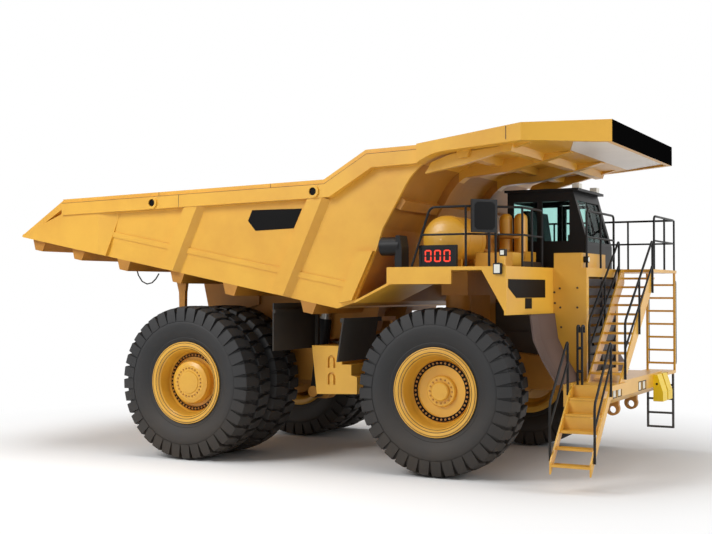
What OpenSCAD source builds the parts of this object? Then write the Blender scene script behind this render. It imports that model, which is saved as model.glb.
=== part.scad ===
// Rigid mining dump truck, in millimetres.
// It is drawn from the rear axle: +X drives forward, +Y is the driver's left, +Z is up.
// place() then moves it so that its box stands centred on the origin.

/* [Overall] */
// Rear axle to the tail of the bed
tail_overhang = 4410; // [4300:10:4500]
// Between the axles
wheelbase = 5180; // [5120:10:5260]
// Front axle to the front of the canopy
front_overhang = 3020; // [2960:10:3100]
// Centre plane to the outer edge of a mirror
mirror_reach = 3320; // [3300:10:3400]

/* [Tyres and rims] */
// Axle to the flat tops of the lugs
tyre_r = 1495; // [1480:5:1505]
// Width over the sidewalls
tyre_w = 910; // [890:5:920]
// Depth of the grooves between the lugs
lug_depth = 75; // [50:5:90]
// Width of a lug round the tyre
lug_w = 130; // [100:5:130]
// Lugs on each side of a tyre
lug_count = 36; // [24:2:40]
// Radius of the bead seat
bead_r = 700; // [690:5:720]
// Radius of the rim flange
flange_r = 795; // [785:5:810]
// Between the two bead seats
rim_w = 600; // [580:5:620]
// Between the centres of the front tyres
front_track = 4850; // [4820:10:4900]
// Between the centres of the rear pairs
rear_track = 4285; // [4260:5:4320]
// Between the two tyres of a pair
pair_spacing = 1072; // [1060:2:1090]

/* [Steering] */
// Centre plane to a kingpin
kingpin_y = 1700; // [1690:5:1720]
// Radius of a front strut's case
strut_r = 230; // [220:5:240]
// Radius of a front strut's piston
piston_r = 150; // [140:5:160]
// Kingpin back to the tie rod
arm_length = 450; // [430:5:470]
// Top of the steering arms
arm_top_z = 1310; // [1300:5:1320]

/* [Frame] */
// Centre plane to the middle of a rail
rail_y = 640; // [620:5:660]
// Width of a rail
rail_w = 300; // [280:5:320]
// Underside of the rails between the axles
rail_bottom_z = 1450; // [1440:5:1470]
// Top of the rails between the axles
rail_top_z = 2150; // [2130:5:2170]
// Half the width of the bumper
bumper_half = 2100; // [2050:10:2150]
// Bumper from back to front
bumper_depth = 700; // [680:10:720]
// Top of the bumper's platform
platform_z = 1670; // [1660:5:1680]

/* [Bed] */
// Width of the load space
bed_inside_w = 5450; // [5400:10:5500]
// Thickness of the side plates
wall_t = 60; // [50:2:70]
// Depth of the ribs and the top rail
rib_depth = 160; // [140:5:170]
// Thickness of the floor
floor_t = 60; // [50:2:70]
// Underside of the floor above the rear axle
floor_z = 3577; // [3570:1:3590]
// Fall of the floor towards the front
floor_slope = 0.1915; // [0.185:0.0005:0.195]
// Half the width of the canopy at its widest
canopy_half = 3100; // [3060:10:3140]
// Half the width of the canopy's front edge
canopy_front_half = 2200; // [2150:10:2250]
// Top of the canopy's front edge
canopy_top_z = 6180; // [6170:5:6220]
// Radius of the bend from the front wall into the canopy
arch_r = 1100; // [1000:10:1200]
// Bed pivot from the rear axle
pivot_x = -750; // [-760:5:-740]
// Height of the bed pivot
pivot_z = 2750; // [2740:5:2760]
// Radius of the bed pivot's pin
pivot_r = 90; // [80:5:100]

/* [Hoist] */
// Centre plane to a hoist
hoist_y = 965; // [960:1:970]
// Lower hoist pin from the rear axle
hoist_low_x = 1750; // [1740:5:1760]
// Height of the lower hoist pin
hoist_low_z = 1250; // [1245:5:1260]
// Upper hoist eye from the rear axle
hoist_high_x = 2000; // [1990:5:2010]
// Height of the upper hoist eye
hoist_high_z = 3000; // [2990:5:3010]
// Radius of a hoist's barrel
barrel_r = 130; // [125:1:135]
// Radius of a hoist's first stage
stage_r = 110; // [105:1:115]
// Radius of a hoist's rod
rod_r = 90; // [85:1:95]
// Radius of the lower hoist pin
hoist_pin_r = 70; // [60:1:75]

/* [Decks and cab] */
// Height of the decks
deck_z = 3700; // [3690:5:3720]
// Thickness of the decks
deck_t = 60; // [50:2:70]
// Half the width over the decks
deck_half = 3000; // [2950:10:3040]
// Front axle to the front edge of the decks
deck_ahead = 1600; // [1560:10:1640]
// Decks from back to front
deck_length = 2330; // [2290:10:2360]
// Half the width of the radiator guard
guard_half = 1050; // [1030:5:1070]
// Radiator guard from back to front
guard_depth = 620; // [600:10:650]
// Cab from back to front at its floor
cab_length = 1650; // [1600:10:1680]
// Width of the cab
cab_width = 1700; // [1650:10:1750]
// Height of the cab
cab_height = 1550; // [1520:10:1600]
// Left edge of the deck to the door side of the cab
cab_inset = 750; // [720:10:780]
// Thickness of the cab's walls
cab_wall = 60; // [50:2:70]
// How far the top of the windscreen leans back
screen_lean = 300; // [200:10:350]
// Width of the door opening
door_w = 640; // [620:10:660]
// Gap round the door
door_gap = 12; // [8:1:16]
// Thickness of the panes
glass_t = 14; // [10:1:18]

/* [Small fittings] */
// Radius of the handrail posts
post_r = 24; // [20:1:26]
// Radius of the handrails
tube_r = 20; // [16:1:22]
// Radius of the lifting holes
lift_bore_r = 75; // [70:1:80]
// Radius of the holes in the front tow eyes
tow_eye_r = 65; // [60:1:70]
// Radius of the hole in the rear hitch
hitch_r = 45; // [40:1:50]
// Clearance of running and seated pieces
fit = 0.3; // [0.2:0.05:0.5]
// Gap between sloped faces that lie on each other
seat = 0.02; // [0.01:0.01:0.05]

/* [Hidden] */
$fn = 64;

paint = [0.90, 0.67, 0.24];
paint_dark = [0.74, 0.52, 0.18];
black = [0.09, 0.09, 0.10];
rubber = [0.13, 0.13, 0.13];
trim = [0.25, 0.25, 0.27];
grey = [0.42, 0.42, 0.42];
steel = [0.62, 0.62, 0.60];
glass = [0.45, 0.60, 0.58, 0.5];
bright = [0.98, 0.80, 0.10];

rear_axle_x = (tail_overhang - wheelbase - front_overhang) / 2;
tail_x = -tail_overhang;
front_x = wheelbase + front_overhang;
axle_z = tyre_r;
crown_r = tyre_r - lug_depth;
rail_in = rail_y - rail_w / 2;
rail_out = rail_y + rail_w / 2;
bed_in = bed_inside_w / 2;
bed_wall = bed_in + wall_t;
bed_out = bed_wall + rib_depth;
hoist_angle = atan2(hoist_high_x - hoist_low_x, hoist_high_z - hoist_low_z);
hoist_closed = norm([hoist_high_x - hoist_low_x, hoist_high_z - hoist_low_z]);
deck_under = deck_z - deck_t;
deck_front_x = wheelbase + deck_ahead;
deck_rear_x = deck_front_x - deck_length;
deck_corner_x = deck_front_x - 180;
panel_z = deck_z - 830;
guard_front_x = deck_front_x + guard_depth;
bumper_rear_x = guard_front_x - 100;
bumper_front_x = bumper_rear_x + bumper_depth;
bumper_z = platform_z - 380;
stair_x0 = guard_front_x + 100;
stair_x1 = stair_x0 + 600;
stair_t = 30;
cab_x1 = deck_front_x + 170;
cab_x0 = cab_x1 - cab_length;
cab_y1 = deck_half - cab_inset;
cab_y0 = cab_y1 - cab_width;
cab_top_z = deck_z + cab_height;
cab_floor_z = deck_z + cab_wall;
sill_z = deck_z + 480;
roof_t = 90;
door_x1 = cab_x1 - 410;
door_x0 = door_x1 - door_w;
door_z1 = cab_top_z - 170;
hinge_x = door_x0 - 20;
hinge_y = cab_y1 + 24;
hinge_r = 20;
hinge_pin_r = 9;
hinge_zs = [deck_z + 330, door_z1 - 260];
spindle_r = 150;
hub_r = 200;
tank_y = 1250;

function floor_at(x) = floor_z - floor_slope * x;
function under(x) = floor_at(x) - seat;
function flip(l) = [for (i = [len(l) - 1 : -1 : 0]) l[i]];

module place() translate([rear_axle_x, 0, 0]) children();
module both() {
  children();
  mirror([0, 1, 0]) children();
}
module bx(x0, x1, y0, y1, z0, z1) translate([x0, y0, z0]) cube([x1 - x0, y1 - y0, z1 - z0]);
module xz(pts, y0, y1) translate([0, y1, 0]) rotate([90, 0, 0]) linear_extrude(y1 - y0) polygon(pts);
module yz(pts, x0, x1) translate([x0, 0, 0]) rotate([90, 0, 90]) linear_extrude(x1 - x0) polygon(pts);
module xy(pts, z0, z1) translate([0, 0, z0]) linear_extrude(z1 - z0) polygon(pts);
module cyl_y(x, z, r, y0, y1) translate([x, y1, z]) rotate([90, 0, 0]) cylinder(r = r, h = y1 - y0);
module cyl_x(y, z, r, x0, x1) translate([x0, y, z]) rotate([0, 90, 0]) cylinder(r = r, h = x1 - x0);
module cyl_z(x, y, r, z0, z1) translate([x, y, z0]) cylinder(r = r, h = z1 - z0);
module spun(pts) rotate([90, 0, 0]) rotate_extrude($fn = 96) polygon(pts);
module tube(p, q, r = tube_r) {
  d = q - p;
  l = norm(d);
  translate(p) rotate([0, acos(d[2] / l), atan2(d[1], d[0])]) cylinder(r = r, h = l, $fn = 8);
}
module run(pts, r = tube_r) for (i = [0 : len(pts) - 2]) tube(pts[i], pts[i + 1], r);
module post(x, y, z, h = 1085) translate([x, y, z]) cylinder(r = post_r, h = h, $fn = 8);

// Carcass of a tyre about the Y axis, one side of it from the bead to the crown.
function carcass_half(s) = let (w = tyre_w / 2, b = rim_w / 2)
  [[bead_r, s * b], [flange_r - 5, s * (b + 35)], [bead_r + 300, s * (w - 12)], [bead_r + 410, s * w],
   [bead_r + 530, s * w], [crown_r - 70, s * (w - 25)], [crown_r, s * (w - 115)]];

// A lug reaches from near the crown over the shoulder.
module lug(s) {
  w = tyre_w / 2;
  yz([[s * 25, crown_r - 30], [s * 25, tyre_r], [s * (w - 95), tyre_r], [s * (w - 30), tyre_r - 35],
      [s * (w - 4), crown_r - 100], [s * (w - 60), crown_r - 120]], -lug_w / 2, lug_w / 2);
}
module tyre_body() {
  pitch = 360 / lug_count;
  spun(concat(carcass_half(-1), flip(carcass_half(1))));
  for (s = [-1, 1], i = [0 : lug_count - 1]) rotate([0, pitch * (i + (s > 0 ? 0.5 : 0)), 0]) lug(s);
}

// The half profile of a rim's barrel and flange, at offset c along the axle.
function rim_edge(c, s) = let (b = rim_w / 2)
  [[bead_r - fit, c + s * b], [flange_r - 5, c + s * (b + 35 + fit)], [flange_r, c + s * (b + 40)],
   [flange_r, c + s * (b + 65)], [flange_r - 45, c + s * (b + 75)], [flange_r - 110, c + s * (b + 60)],
   [bead_r - 60, c + s * b]];

// Front rim: hub cap, disc with its raised stud ring, dish and flanges.
module rim_front() spun(concat(
  [[0, 150], [150, 150], [170, 130], [170, 85], [260, 85], [280, 60], [280, 25], [450, 25], [460, 55],
    [545, 55],
   [555, 30], [575, 50], [600, 110]],
  flip(rim_edge(0, 1)), rim_edge(0, -1),
  [[590, -140], [520, -60], [spindle_r + fit, -60], [spindle_r + fit, 70], [0, 70]]));

// Rear rims: one hub carries both, with the cover of the final drive standing out of the outer rim.
module rims_rear() {
  c = pair_spacing / 2;
  spun(concat([[0, c + 250], [210, c + 250], [220, c + 235], [330, c + 235], [400, c + 205],
    [430, c + 120], [430, c + 30],
      [480, c + 30], [490, c + 60], [560, c + 60], [570, c + 30], [600, c + 70]],
    flip(rim_edge(c, 1)), rim_edge(c, -1), flip(rim_edge(-c, 1)), rim_edge(-c, -1),
    [[600, -c - 200], [600, c - 180], [560, c - 110], [hub_r + fit, c - 110], [hub_r + fit, c + 60],
      [0, c + 60]]));
}

module tyre_front_right() color(rubber) translate([wheelbase, -front_track / 2, axle_z]) tyre_body();
module tyre_front_left() mirror([0, 1, 0]) tyre_front_right();
module rim_front_right() color(paint) translate([wheelbase, -front_track / 2, axle_z]) rim_front();
module rim_front_left() mirror([0, 1, 0]) rim_front_right();
module tyres_rear_right() color(rubber) for (s = [-1, 1])
  translate([0, -rear_track / 2 + s * pair_spacing / 2, axle_z]) tyre_body();
module tyres_rear_left() mirror([0, 1, 0]) tyres_rear_right();
module rims_rear_right() color(paint) translate([0, -rear_track / 2, axle_z]) rims_rear();
module rims_rear_left() mirror([0, 1, 0]) rims_rear_right();

// Steering knuckle: kingpin post, spindle, wheel hub and the arm to the tie rod.
module knuckle_right() color(grey) {
  x = wheelbase;
  y = -kingpin_y;
  face = -front_track / 2 + 65;
  cyl_z(x, y, 190, arm_top_z - 130, 2300);
  cyl_z(x, y, piston_r, 2300, 2600);
  cyl_y(x, axle_z, 260, face + 6, y + 60);
  cyl_y(x, axle_z, 330, face + 6, face + 180);
  cyl_y(x, axle_z, spindle_r, -front_track / 2 - 69, y);
  xy([[x - 120, y - 150], [x + 120, y - 150], [x + 120, y + 120], [x - arm_length + 40, y + 230],
      [x - arm_length - 40, y + 130], [x - 150, y - 60]], arm_top_z - 70, arm_top_z);
  cyl_z(x - arm_length, y + 150, 120, arm_top_z - 70, arm_top_z);
}
module knuckle_left() mirror([0, 1, 0]) knuckle_right();

module tie_rod() color(grey) {
  x = wheelbase - arm_length;
  e = kingpin_y - 150;
  z = arm_top_z + fit + 40;
  both() cyl_z(x, -e, 85, arm_top_z + fit, z + 40);
  cyl_y(x, z, 36, -e, e);
}

// Rails that arch over the rear axle, cross members, the front tower and the bed's pivot ears.
module chassis_frame() color(paint_dark) difference() {
  crossings = [[-1150, -900, 2270, 2500], [-620, -300, 2350, 2500], [1250, 1650, rail_bottom_z, 1900],
    [3500, 3750, rail_bottom_z, 1900], [wheelbase - 580, wheelbase - 330, rail_bottom_z, 1500],
    [wheelbase + 820, wheelbase + 1070, rail_bottom_z, 1500],
      [bumper_rear_x - 300, bumper_rear_x, rail_bottom_z, 1900]];
  tower = 260;
  union() {
    both() xz([[-1150, 2270], [-760, 2060], [620, 2060], [1080, rail_bottom_z],
      [bumper_rear_x, rail_bottom_z],
      [bumper_rear_x, 1980], [wheelbase + 420, rail_top_z], [1350, rail_top_z], [640, 2500],
        [pivot_x + 330, 2500],
      [pivot_x + 190, pivot_z], [pivot_x + 120, pivot_z + 150], [pivot_x, pivot_z + 195],
        [pivot_x - 120, pivot_z + 150],
      [pivot_x - 190, pivot_z], [-1150, 2500]], rail_in, rail_out);
    for (c = crossings) bx(c[0], c[1], -rail_in, rail_in, c[2], c[3]);
    both() bx(wheelbase - tower, wheelbase + tower, rail_in, rail_out, rail_top_z, 3200);
    bx(wheelbase - tower, wheelbase + tower, -kingpin_y - 180, kingpin_y + 180, 3200, deck_under);
    // brackets and pins of the hoists
    both() xz([[hoist_low_x - 230, 1500], [hoist_low_x - 230, hoist_low_z - 70],
      [hoist_low_x - 130, hoist_low_z - 160],
      [hoist_low_x + 130, hoist_low_z - 160], [hoist_low_x + 230, hoist_low_z - 70],
        [hoist_low_x + 230, 1500]], rail_in, rail_out);
    both() cyl_y(hoist_low_x, hoist_low_z, hoist_pin_r, rail_out - 10, hoist_y + barrel_r + 20);
    both() cyl_y(hoist_low_x, hoist_low_z, hoist_pin_r + 40, hoist_y + barrel_r + 6,
      hoist_y + barrel_r + 26);
    // arms that carry the tanks, the flaps and the radiator guard
    both() for (x = [2330, 2900]) bx(x, x + 200, rail_out, tank_y, 1600, 1850);
    both() bx(2030, 2090, rail_out, 1400, 1950, 2150);
    both() bx(3340, 3400, rail_out - 100, rail_out, 2100, 2780);
    both() bx(3340, 3400, rail_out - 100, 1300, 2700, 2780);
    both() bx(deck_front_x + 70, deck_front_x + 220, rail_out, guard_half - 40, 1650, 1800);
  }
  both() cyl_y(pivot_x, pivot_z, pivot_r + fit, rail_in - 1, rail_out + 1);
}

module front_bumper() color(paint) {
  difference() {
    xz([[bumper_rear_x, bumper_z], [bumper_front_x - 130, bumper_z], [bumper_front_x, bumper_z + 110],
      [bumper_front_x, platform_z], [bumper_rear_x, platform_z]], -bumper_half, bumper_half);
    for (y = lamp_ys) bx(bumper_front_x - 70, bumper_front_x + 1, y, y + lamp_w, lamp_z, lamp_z + lamp_h);
  }
  bx(bumper_rear_x, stair_x1 + 40, -bumper_half, -guard_half, platform_z - 90, platform_z);
}
lamp_w = 230;
lamp_h = 145;
lamp_z = bumper_z + 130;
lamp_ys = [-1500, -1180, 250, 560];

// Headlamps in the bumper and work lamps on the cab's roof.
module lamps() color(steel) {
  for (y = lamp_ys) bx(bumper_front_x - 70, bumper_front_x - 12, y + fit, y + lamp_w - fit, lamp_z + fit,
    lamp_z + lamp_h - fit);
  for (y = [cab_y0 + 150, cab_y1 - 350])
    bx(cab_x1 - screen_lean - 60, cab_x1 - screen_lean + 80, y, y + 200, visor_z, visor_z + 110);
}

module engine_block() color(grey) {
  x0 = wheelbase - 660;
  bx(x0, x0 + 1830, -rail_in + 20, rail_in - 20, rail_bottom_z + 50, 2500);
  xz([[x0 + 180, 2500], [x0 + 300, 3050], [x0 + 1630, 3050], [x0 + 1780, 2500]], -420, 420);
}

// The curved edge that the radiator guard's cheeks share with the splash panels, from the top down.
function splash_line(d) = let (x = deck_front_x + d)
  [[x, panel_z - 30], [x + 60, 2420], [x + 230, 2060], [x + 430, 1740], [x + 470, platform_z]];

// Shell round the radiator: two cheeks, a roof with its riser and a border round the grille.
module radiator_guard() color(paint) {
  x0 = deck_front_x;
  x1 = guard_front_x;
  h = guard_half;
  cheek = 40;
  both() xz(concat(splash_line(0), [[x1, platform_z], [x1, deck_z], [x0, deck_z]]), h - cheek, h);
  bx(x0, x1, -h + cheek, h - cheek, deck_under, deck_z);
  both() bx(x1 - 60, x1, h - 140, h - cheek, platform_z, deck_under);
  bx(x1 - 60, x1, -h + 140, h - 140, platform_z, platform_z + 120);
  bx(x1 - 60, x1, -h + 140, h - 140, deck_under - 100, deck_under);
  bx(x0 + 10, x1 - 90, -h + 5, cab_y0 - 60, deck_z - 10, deck_z + 270);
}

module radiator_grille() color(black) {
  h = guard_half - 140 - fit;
  x = guard_front_x;
  z0 = platform_z + 120;
  z1 = deck_under - 100;
  slats = 10;
  p = (z1 - z0) / slats;
  both() bx(x - 58, x - 6, h - 30, h, z0, z1);
  bx(x - 58, x - 6, -15, 15, z0, z1);
  for (i = [0 : slats - 1]) translate([0, 0, z0 + i * p])
    xz([[x - 56, 20], [x - 44, 8], [x - 8, p - 52], [x - 20, p - 40]], -h + 30, h - 30);
}

// Both decks with their lips, skirts and front panels, the sloped plates behind, and the walkway.
module decks() color(paint) {
  h = deck_half;
  g = guard_half;
  t = 40;
  rx = deck_rear_x;
  cx = deck_corner_x;
  both() {
    xy([[rx, -h], [cx, -h], [deck_front_x, -g], [rx, -g]], deck_under, deck_z);
    bx(rx - 100, rx + 1140, -h, -h + t, deck_z - 300, deck_under);
    bx(rx - 100, rx, -h, -h + t, deck_under, deck_z);
    xz([[cx - 450, deck_under], [cx, panel_z], [cx, deck_under]], -h, -h + t);
    xy([[cx, -h], [deck_front_x, -g], [deck_front_x - t, -g], [cx - t, -h]], panel_z, deck_under);
    bx(rx, rx + t, -h + t, -g, deck_z - 300, deck_under);
    xz([[rx - 770, 3060], [rx, 3420], [rx, 3470], [rx - 770, 3100]], -h + t, -g - 60);
  }
  bx(rx, deck_front_x, -g, g, deck_under, deck_z);
  xy([[cx, h], [deck_front_x, g], [guard_front_x, g], [guard_front_x, g - 10], [stair_x1, g - 10],
    [stair_x1, h]], deck_under, deck_z);
}

// Cab shell with a leaning windscreen, a roof visor and the fixed halves of the door's hinges.
visor_z = cab_top_z + 40;
screen_angle = atan2(screen_lean, cab_top_z - sill_z);
screen_length = norm([screen_lean, cab_top_z - sill_z]);
module cab_shell() color(black) {
  difference() {
    xz([[cab_x0, deck_z], [cab_x1, deck_z], [cab_x1, sill_z], [cab_x1 - screen_lean, cab_top_z],
      [cab_x0, cab_top_z]], cab_y0, cab_y1);
    xz([[cab_x0 + cab_wall, cab_floor_z], [cab_x1 - cab_wall, cab_floor_z], [cab_x1 - cab_wall, sill_z],
      [cab_x1 - screen_lean - cab_wall, cab_top_z - roof_t], [cab_x0 + cab_wall, cab_top_z - roof_t]],
      cab_y0 + cab_wall, cab_y1 - cab_wall);
    cab_panes(0);
    bx(door_x0, door_x1, cab_y1 - cab_wall - 1, cab_y1 + 1, cab_floor_z, door_z1);
  }
  bx(cab_x0 - 50, cab_x1 - screen_lean + 120, cab_y0 - 50, cab_y1 + 30, cab_top_z - 10, visor_z);
  for (z = hinge_zs) {
    bx(door_x0 - 60, hinge_x + hinge_r, cab_y1 - 10, hinge_y + hinge_r, z - 70, z - 40 - fit);
    cyl_z(hinge_x, hinge_y, hinge_pin_r, z - 70, z + 30);
  }
}

// The window openings, or with a gap the panes that sit in them.
module cab_panes(gap, t = 200) {
  z0 = deck_z + 560 + gap;
  z1 = door_z1 - 40 - gap;
  m = cab_wall / 2;
  translate([cab_x1, 0, sill_z]) rotate([0, -screen_angle, 0])
    bx(-m - t / 2, -m + t / 2, cab_y0 + 130 + gap, cab_y1 - 130 - gap, 60 + gap,
      screen_length - 200 - gap);
  bx(cab_x0 + m - t / 2, cab_x0 + m + t / 2, cab_y0 + 200 + gap, cab_y1 - 200 - gap, z0, z1);
  for (w = [[cab_x0 + 120, cab_x0 + 620], [cab_x0 + 720, cab_x1 - 370]])
    bx(w[0] + gap, w[1] - gap, cab_y0 + m - t / 2, cab_y0 + m + t / 2, z0, z1);
  bx(cab_x0 + 120 + gap, door_x0 - 100 - gap, cab_y1 - m - t / 2, cab_y1 - m + t / 2, z0, z1);
}
module cab_glass() color(glass) cab_panes(fit, glass_t);

// Two seats, the dash and the steering wheel.
module cab_interior() color(trim) {
  zf = cab_floor_z;
  driver_y = cab_y1 - 620;
  for (y = [cab_y0 + 330, driver_y]) {
    bx(cab_x0 + 480, cab_x0 + 760, y - 150, y + 150, zf, zf + 320);
    bx(cab_x0 + 380, cab_x0 + 880, y - 250, y + 250, zf + 320, zf + 450);
    xz([[cab_x0 + 380, zf + 450], [cab_x0 + 500, zf + 450], [cab_x0 + 400, zf + 1120],
      [cab_x0 + 290, zf + 1120]], y - 230, y + 230);
  }
  xz([[cab_x1 - 420, zf], [cab_x1 - cab_wall, zf], [cab_x1 - cab_wall, sill_z], [cab_x1 - 200, zf + 620],
    [cab_x1 - 420, zf + 620]],
    cab_y0 + cab_wall, cab_y1 - cab_wall);
  translate([cab_x1 - 470, driver_y, zf + 690]) rotate([0, -35, 0]) {
    difference() {
      cylinder(r = 220, h = 36);
      translate([0, 0, -1]) cylinder(r = 186, h = 38);
    }
    bx(-190, 190, -25, 25, 5, 30);
    translate([0, 0, -220]) cylinder(r = 35, h = 240);
  }
}

module cab_door() color(black) {
  difference() {
    bx(door_x0 + door_gap, door_x1 - door_gap, cab_y1 - cab_wall, cab_y1, cab_floor_z + door_gap,
      door_z1 - door_gap);
    door_pane(0, 200);
  }
  for (z = hinge_zs) difference() {
    union() {
      cyl_z(hinge_x, hinge_y, hinge_r, z - 40, z + 40);
      bx(hinge_x, door_x0 + 75, cab_y1 + 6, cab_y1 + 20, z - 40, z + 40);
      bx(door_x0 + 20, door_x0 + 75, cab_y1 - 10, cab_y1 + 20, z - 40, z + 40);
    }
    cyl_z(hinge_x, hinge_y, hinge_pin_r + fit, z - 41, z + 41);
  }
}
module door_pane(gap, t)
  bx(door_x0 + 90 + gap, door_x1 - 90 - gap, cab_y1 - cab_wall / 2 - t / 2, cab_y1 - cab_wall / 2 + t / 2,
  deck_z + 560 + gap, door_z1 - 90 - gap);
module door_glass() color(glass) door_pane(fit, glass_t);

// Arched groove round each sight glass of the hydraulic tank.
module arch_groove(x, z, w, h, y0, y1) difference() {
  arch_bar(x, z, w, h, y0, y1);
  arch_bar(x + w * 0.28, z - 1, w * 0.44, h * 0.82, y0 - 1, y1 + 1);
}
module arch_bar(x, z, w, h, y0, y1) {
  bx(x, x + w, y0, y1, z, z + h - w / 2);
  cyl_y(x + w / 2, z + h - w / 2, w / 2, y0, y1);
}

// Stepped hydraulic tank on the right, fuel tank on the left.
module side_tanks() color(paint) {
  face_y = tank_y + 800;
  difference() {
    xz([[2270, 2230], [2930, 2230], [2930, 1880], [3130, 1880], [3130, 1680], [3250, 1650], [3250, 1330],
      [2380, 1300]], -face_y, -tank_y);
    for (z = [1490, 1810]) arch_groove(2620, z, 170, 240, -face_y - 1, -face_y + 40);
  }
  xz([[2150, 2180], [2150, 1500], [2290, 1350], [3050, 1350], [3190, 1500], [3190, 2180], [3080, 2280],
    [2260, 2280]], tank_y, 2250);
}

module stringer(y0, z0, y1, z1, x, h)
  yz([[y0, z0 - h], [y1, z1 - h], [y1, z1 + 40], [y0, z0 + 40]], x, x + stair_t);

// Lower flight hung from the end of the bumper, upper flight from the platform to the walkway.
module front_stairs() color(paint) {
  treads = 5;
  going = 240;
  rise = 250;
  y0 = -bumper_half - 1190;
  z0 = platform_z - rise * treads;
  x0 = stair_x0 - 60;
  x1 = stair_x1 + 10;
  for (i = [0 : treads - 1])
    bx(x0 + stair_t, x1, y0 + i * going, y0 + i * going + 230, z0 + i * rise, z0 + i * rise + 40);
  for (i = [2, 3]) bx(x0 + stair_t, x1, y0 + i * going + 210, y0 + i * going + 230, z0 + i * rise + 20,
    z0 + i * rise + rise);
  for (x = [x0, x1]) stringer(y0, z0 + 40, -bumper_half, platform_z - 10, x, 160);
  steps = 11;
  for (i = [0 : steps - 1]) bx(stair_x0 + stair_t, stair_x1 - stair_t, -1290 + i * 231,
    -1290 + i * 231 + 222, platform_z + 130 + i * 170, platform_z + 170 + i * 170);
  for (x = [stair_x0, stair_x1 - stair_t])
    yz([[-1420, platform_z], [-1100, platform_z], [guard_half - 10, deck_z - 280],
    [guard_half - 10, deck_z], [guard_half - 190, deck_z]], x, x + stair_t);
}

// Ladder from the left walkway to the bumper, and the step frame hung under it.
module left_ladder() color(paint) {
  y = deck_half - 60;
  x0 = stair_x0 - 20;
  x1 = stair_x1 - 20;
  for (x = [x0, x1 - 40]) bx(x, x + 40, y, y + 60, platform_z - 40, deck_under);
  for (i = [0 : 6])
    bx(x0 + 40, x1 - 40, y + 10, y + 50, platform_z + 90 + i * 270, platform_z + 130 + i * 270);
  xy([[x0, bumper_half], [bumper_front_x, bumper_half], [bumper_front_x, 2250], [x1, 2250], [x1, y + 60],
    [x0, y + 60]], platform_z - 90, platform_z - 30);
  for (x = [x0 + 20, x1 - 60]) bx(x, x + 40, y - 60, y, platform_z - 1230, platform_z - 80);
  for (i = [0 : 3])
    bx(x0 + 60, x1 - 60, y - 60, y, platform_z - 1230 + i * 290, platform_z - 1190 + i * 290);
}

module handrails() color(black) {
  z = deck_z;
  h = deck_half - 40;
  levels = [z + 560, z + 1040];
  rx = deck_rear_x + 250;
  gx = guard_front_x - 40;
  wx = stair_x1 - 40;
  // right deck, set in behind the mirror
  for (x = [rx, rx + 600, rx + 1200]) post(x, -h, z);
  for (y = [-2200, -guard_half - 100]) post(deck_corner_x, y, z);
  for (l = levels) run([[rx, -h, l], [rx + 1200, -h, l], [deck_corner_x, -2200, l],
    [deck_corner_x, -guard_half - 100, l]]);
  // left deck and the front of its walkway
  for (x = [rx, rx + 780, rx + 1600, rx + 2400, wx]) post(x, h, z);
  for (y = [guard_half + 200, 2100]) post(wx, y, z);
  for (l = levels) run([[rx, h, l], [wx, h, l], [wx, guard_half + 200, l]]);
  // over the radiator
  for (y = [-900, 0, 900]) post(gx, y, z);
  for (l = levels) run([[gx, -900, l], [gx, 900, l]]);
  // upper flight
  for (x = [stair_x0 - post_r - fit, stair_x1 + post_r + fit]) {
    for (p = [[-1150, platform_z + 50], [-150, platform_z + 810], [850, platform_z + 1570]])
      post(x, p[0], p[1]);
    run([[x, -1180, platform_z + 1047], [x, 880, platform_z + 2613]]);
    run([[x, -1180, platform_z + 567], [x, 880, platform_z + 2133]]);
  }
  // lower flight
  for (x = [stair_x0 - 60 - post_r - fit, stair_x1 + 40 + post_r + fit]) {
    for (p = [[-bumper_half - 1080, platform_z - 1170], [-bumper_half - 120, platform_z - 170]])
      post(x, p[0], p[1], 960);
    run([[x, -bumper_half - 1110, platform_z - 260], [x, -bumper_half - 90, platform_z + 802]]);
    run([[x, -bumper_half - 1110, platform_z - 640], [x, -bumper_half - 90, platform_z + 422]]);
  }
  // left ladder
  for (x = [stair_x0, stair_x1 - 40]) {
    for (l = [platform_z + 90, deck_z - 220]) tube([x, deck_half, l], [x, deck_half + 80, l], 16);
    translate([x, deck_half + 80, platform_z + 70]) cylinder(r = 19, h = 1760, $fn = 8);
  }
}

// A mirror on its post at the front corner of the right deck, turned towards the driver.
module mirror_on_post(z) {
  turn = 40;
  t = 60;
  w = 480;
  x = deck_corner_x - 350;
  y = mirror_reach - w / 2 * cos(turn) - t / 2 * sin(turn);
  py = -deck_half + 110;
  translate([x, -y, z]) rotate([0, 0, -turn]) bx(-t / 2, t / 2, -w / 2, w / 2, -280, 280);
  for (dz = [-180, 180]) tube([x, py, z + dz], [x, -y + 12, z + dz], 16);
  post(x, py, deck_z, z - deck_z + 215);
}
// The left one stands above its handrail.
module mirrors() color(black) {
  mirror_on_post(deck_z + 850);
  mirror([0, 1, 0]) mirror_on_post(deck_z + 1400);
}

module payload_display() color(black) {
  x = deck_rear_x + 500;
  y = -deck_half + 75;
  difference() {
    bx(x, x + 700, y, y + 90, deck_z, deck_z + 380);
    bx(x + 40, x + 660, y - 1, y + 12, deck_z + 50, deck_z + 330);
  }
}

// Short exhaust pipe with its elbow box on the corner of the right deck.
module exhaust_outlet() color(black) {
  x = deck_rear_x;
  y = -deck_half + 180;
  z = deck_z + 375;
  difference() {
    cyl_x(y, z, 165, x - 270, x + 110);
    cyl_x(y, z, 150, x - 271, x - 60);
  }
  bx(x, x + 110, y - 60, y + 60, deck_z, z - 150);
  xz([[x + 60, deck_z], [x + 180, deck_z], [x + 180, z - 20], [x + 140, z + 190], [x + 60, z + 190]],
    y - 150, y + 150);
}

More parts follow.
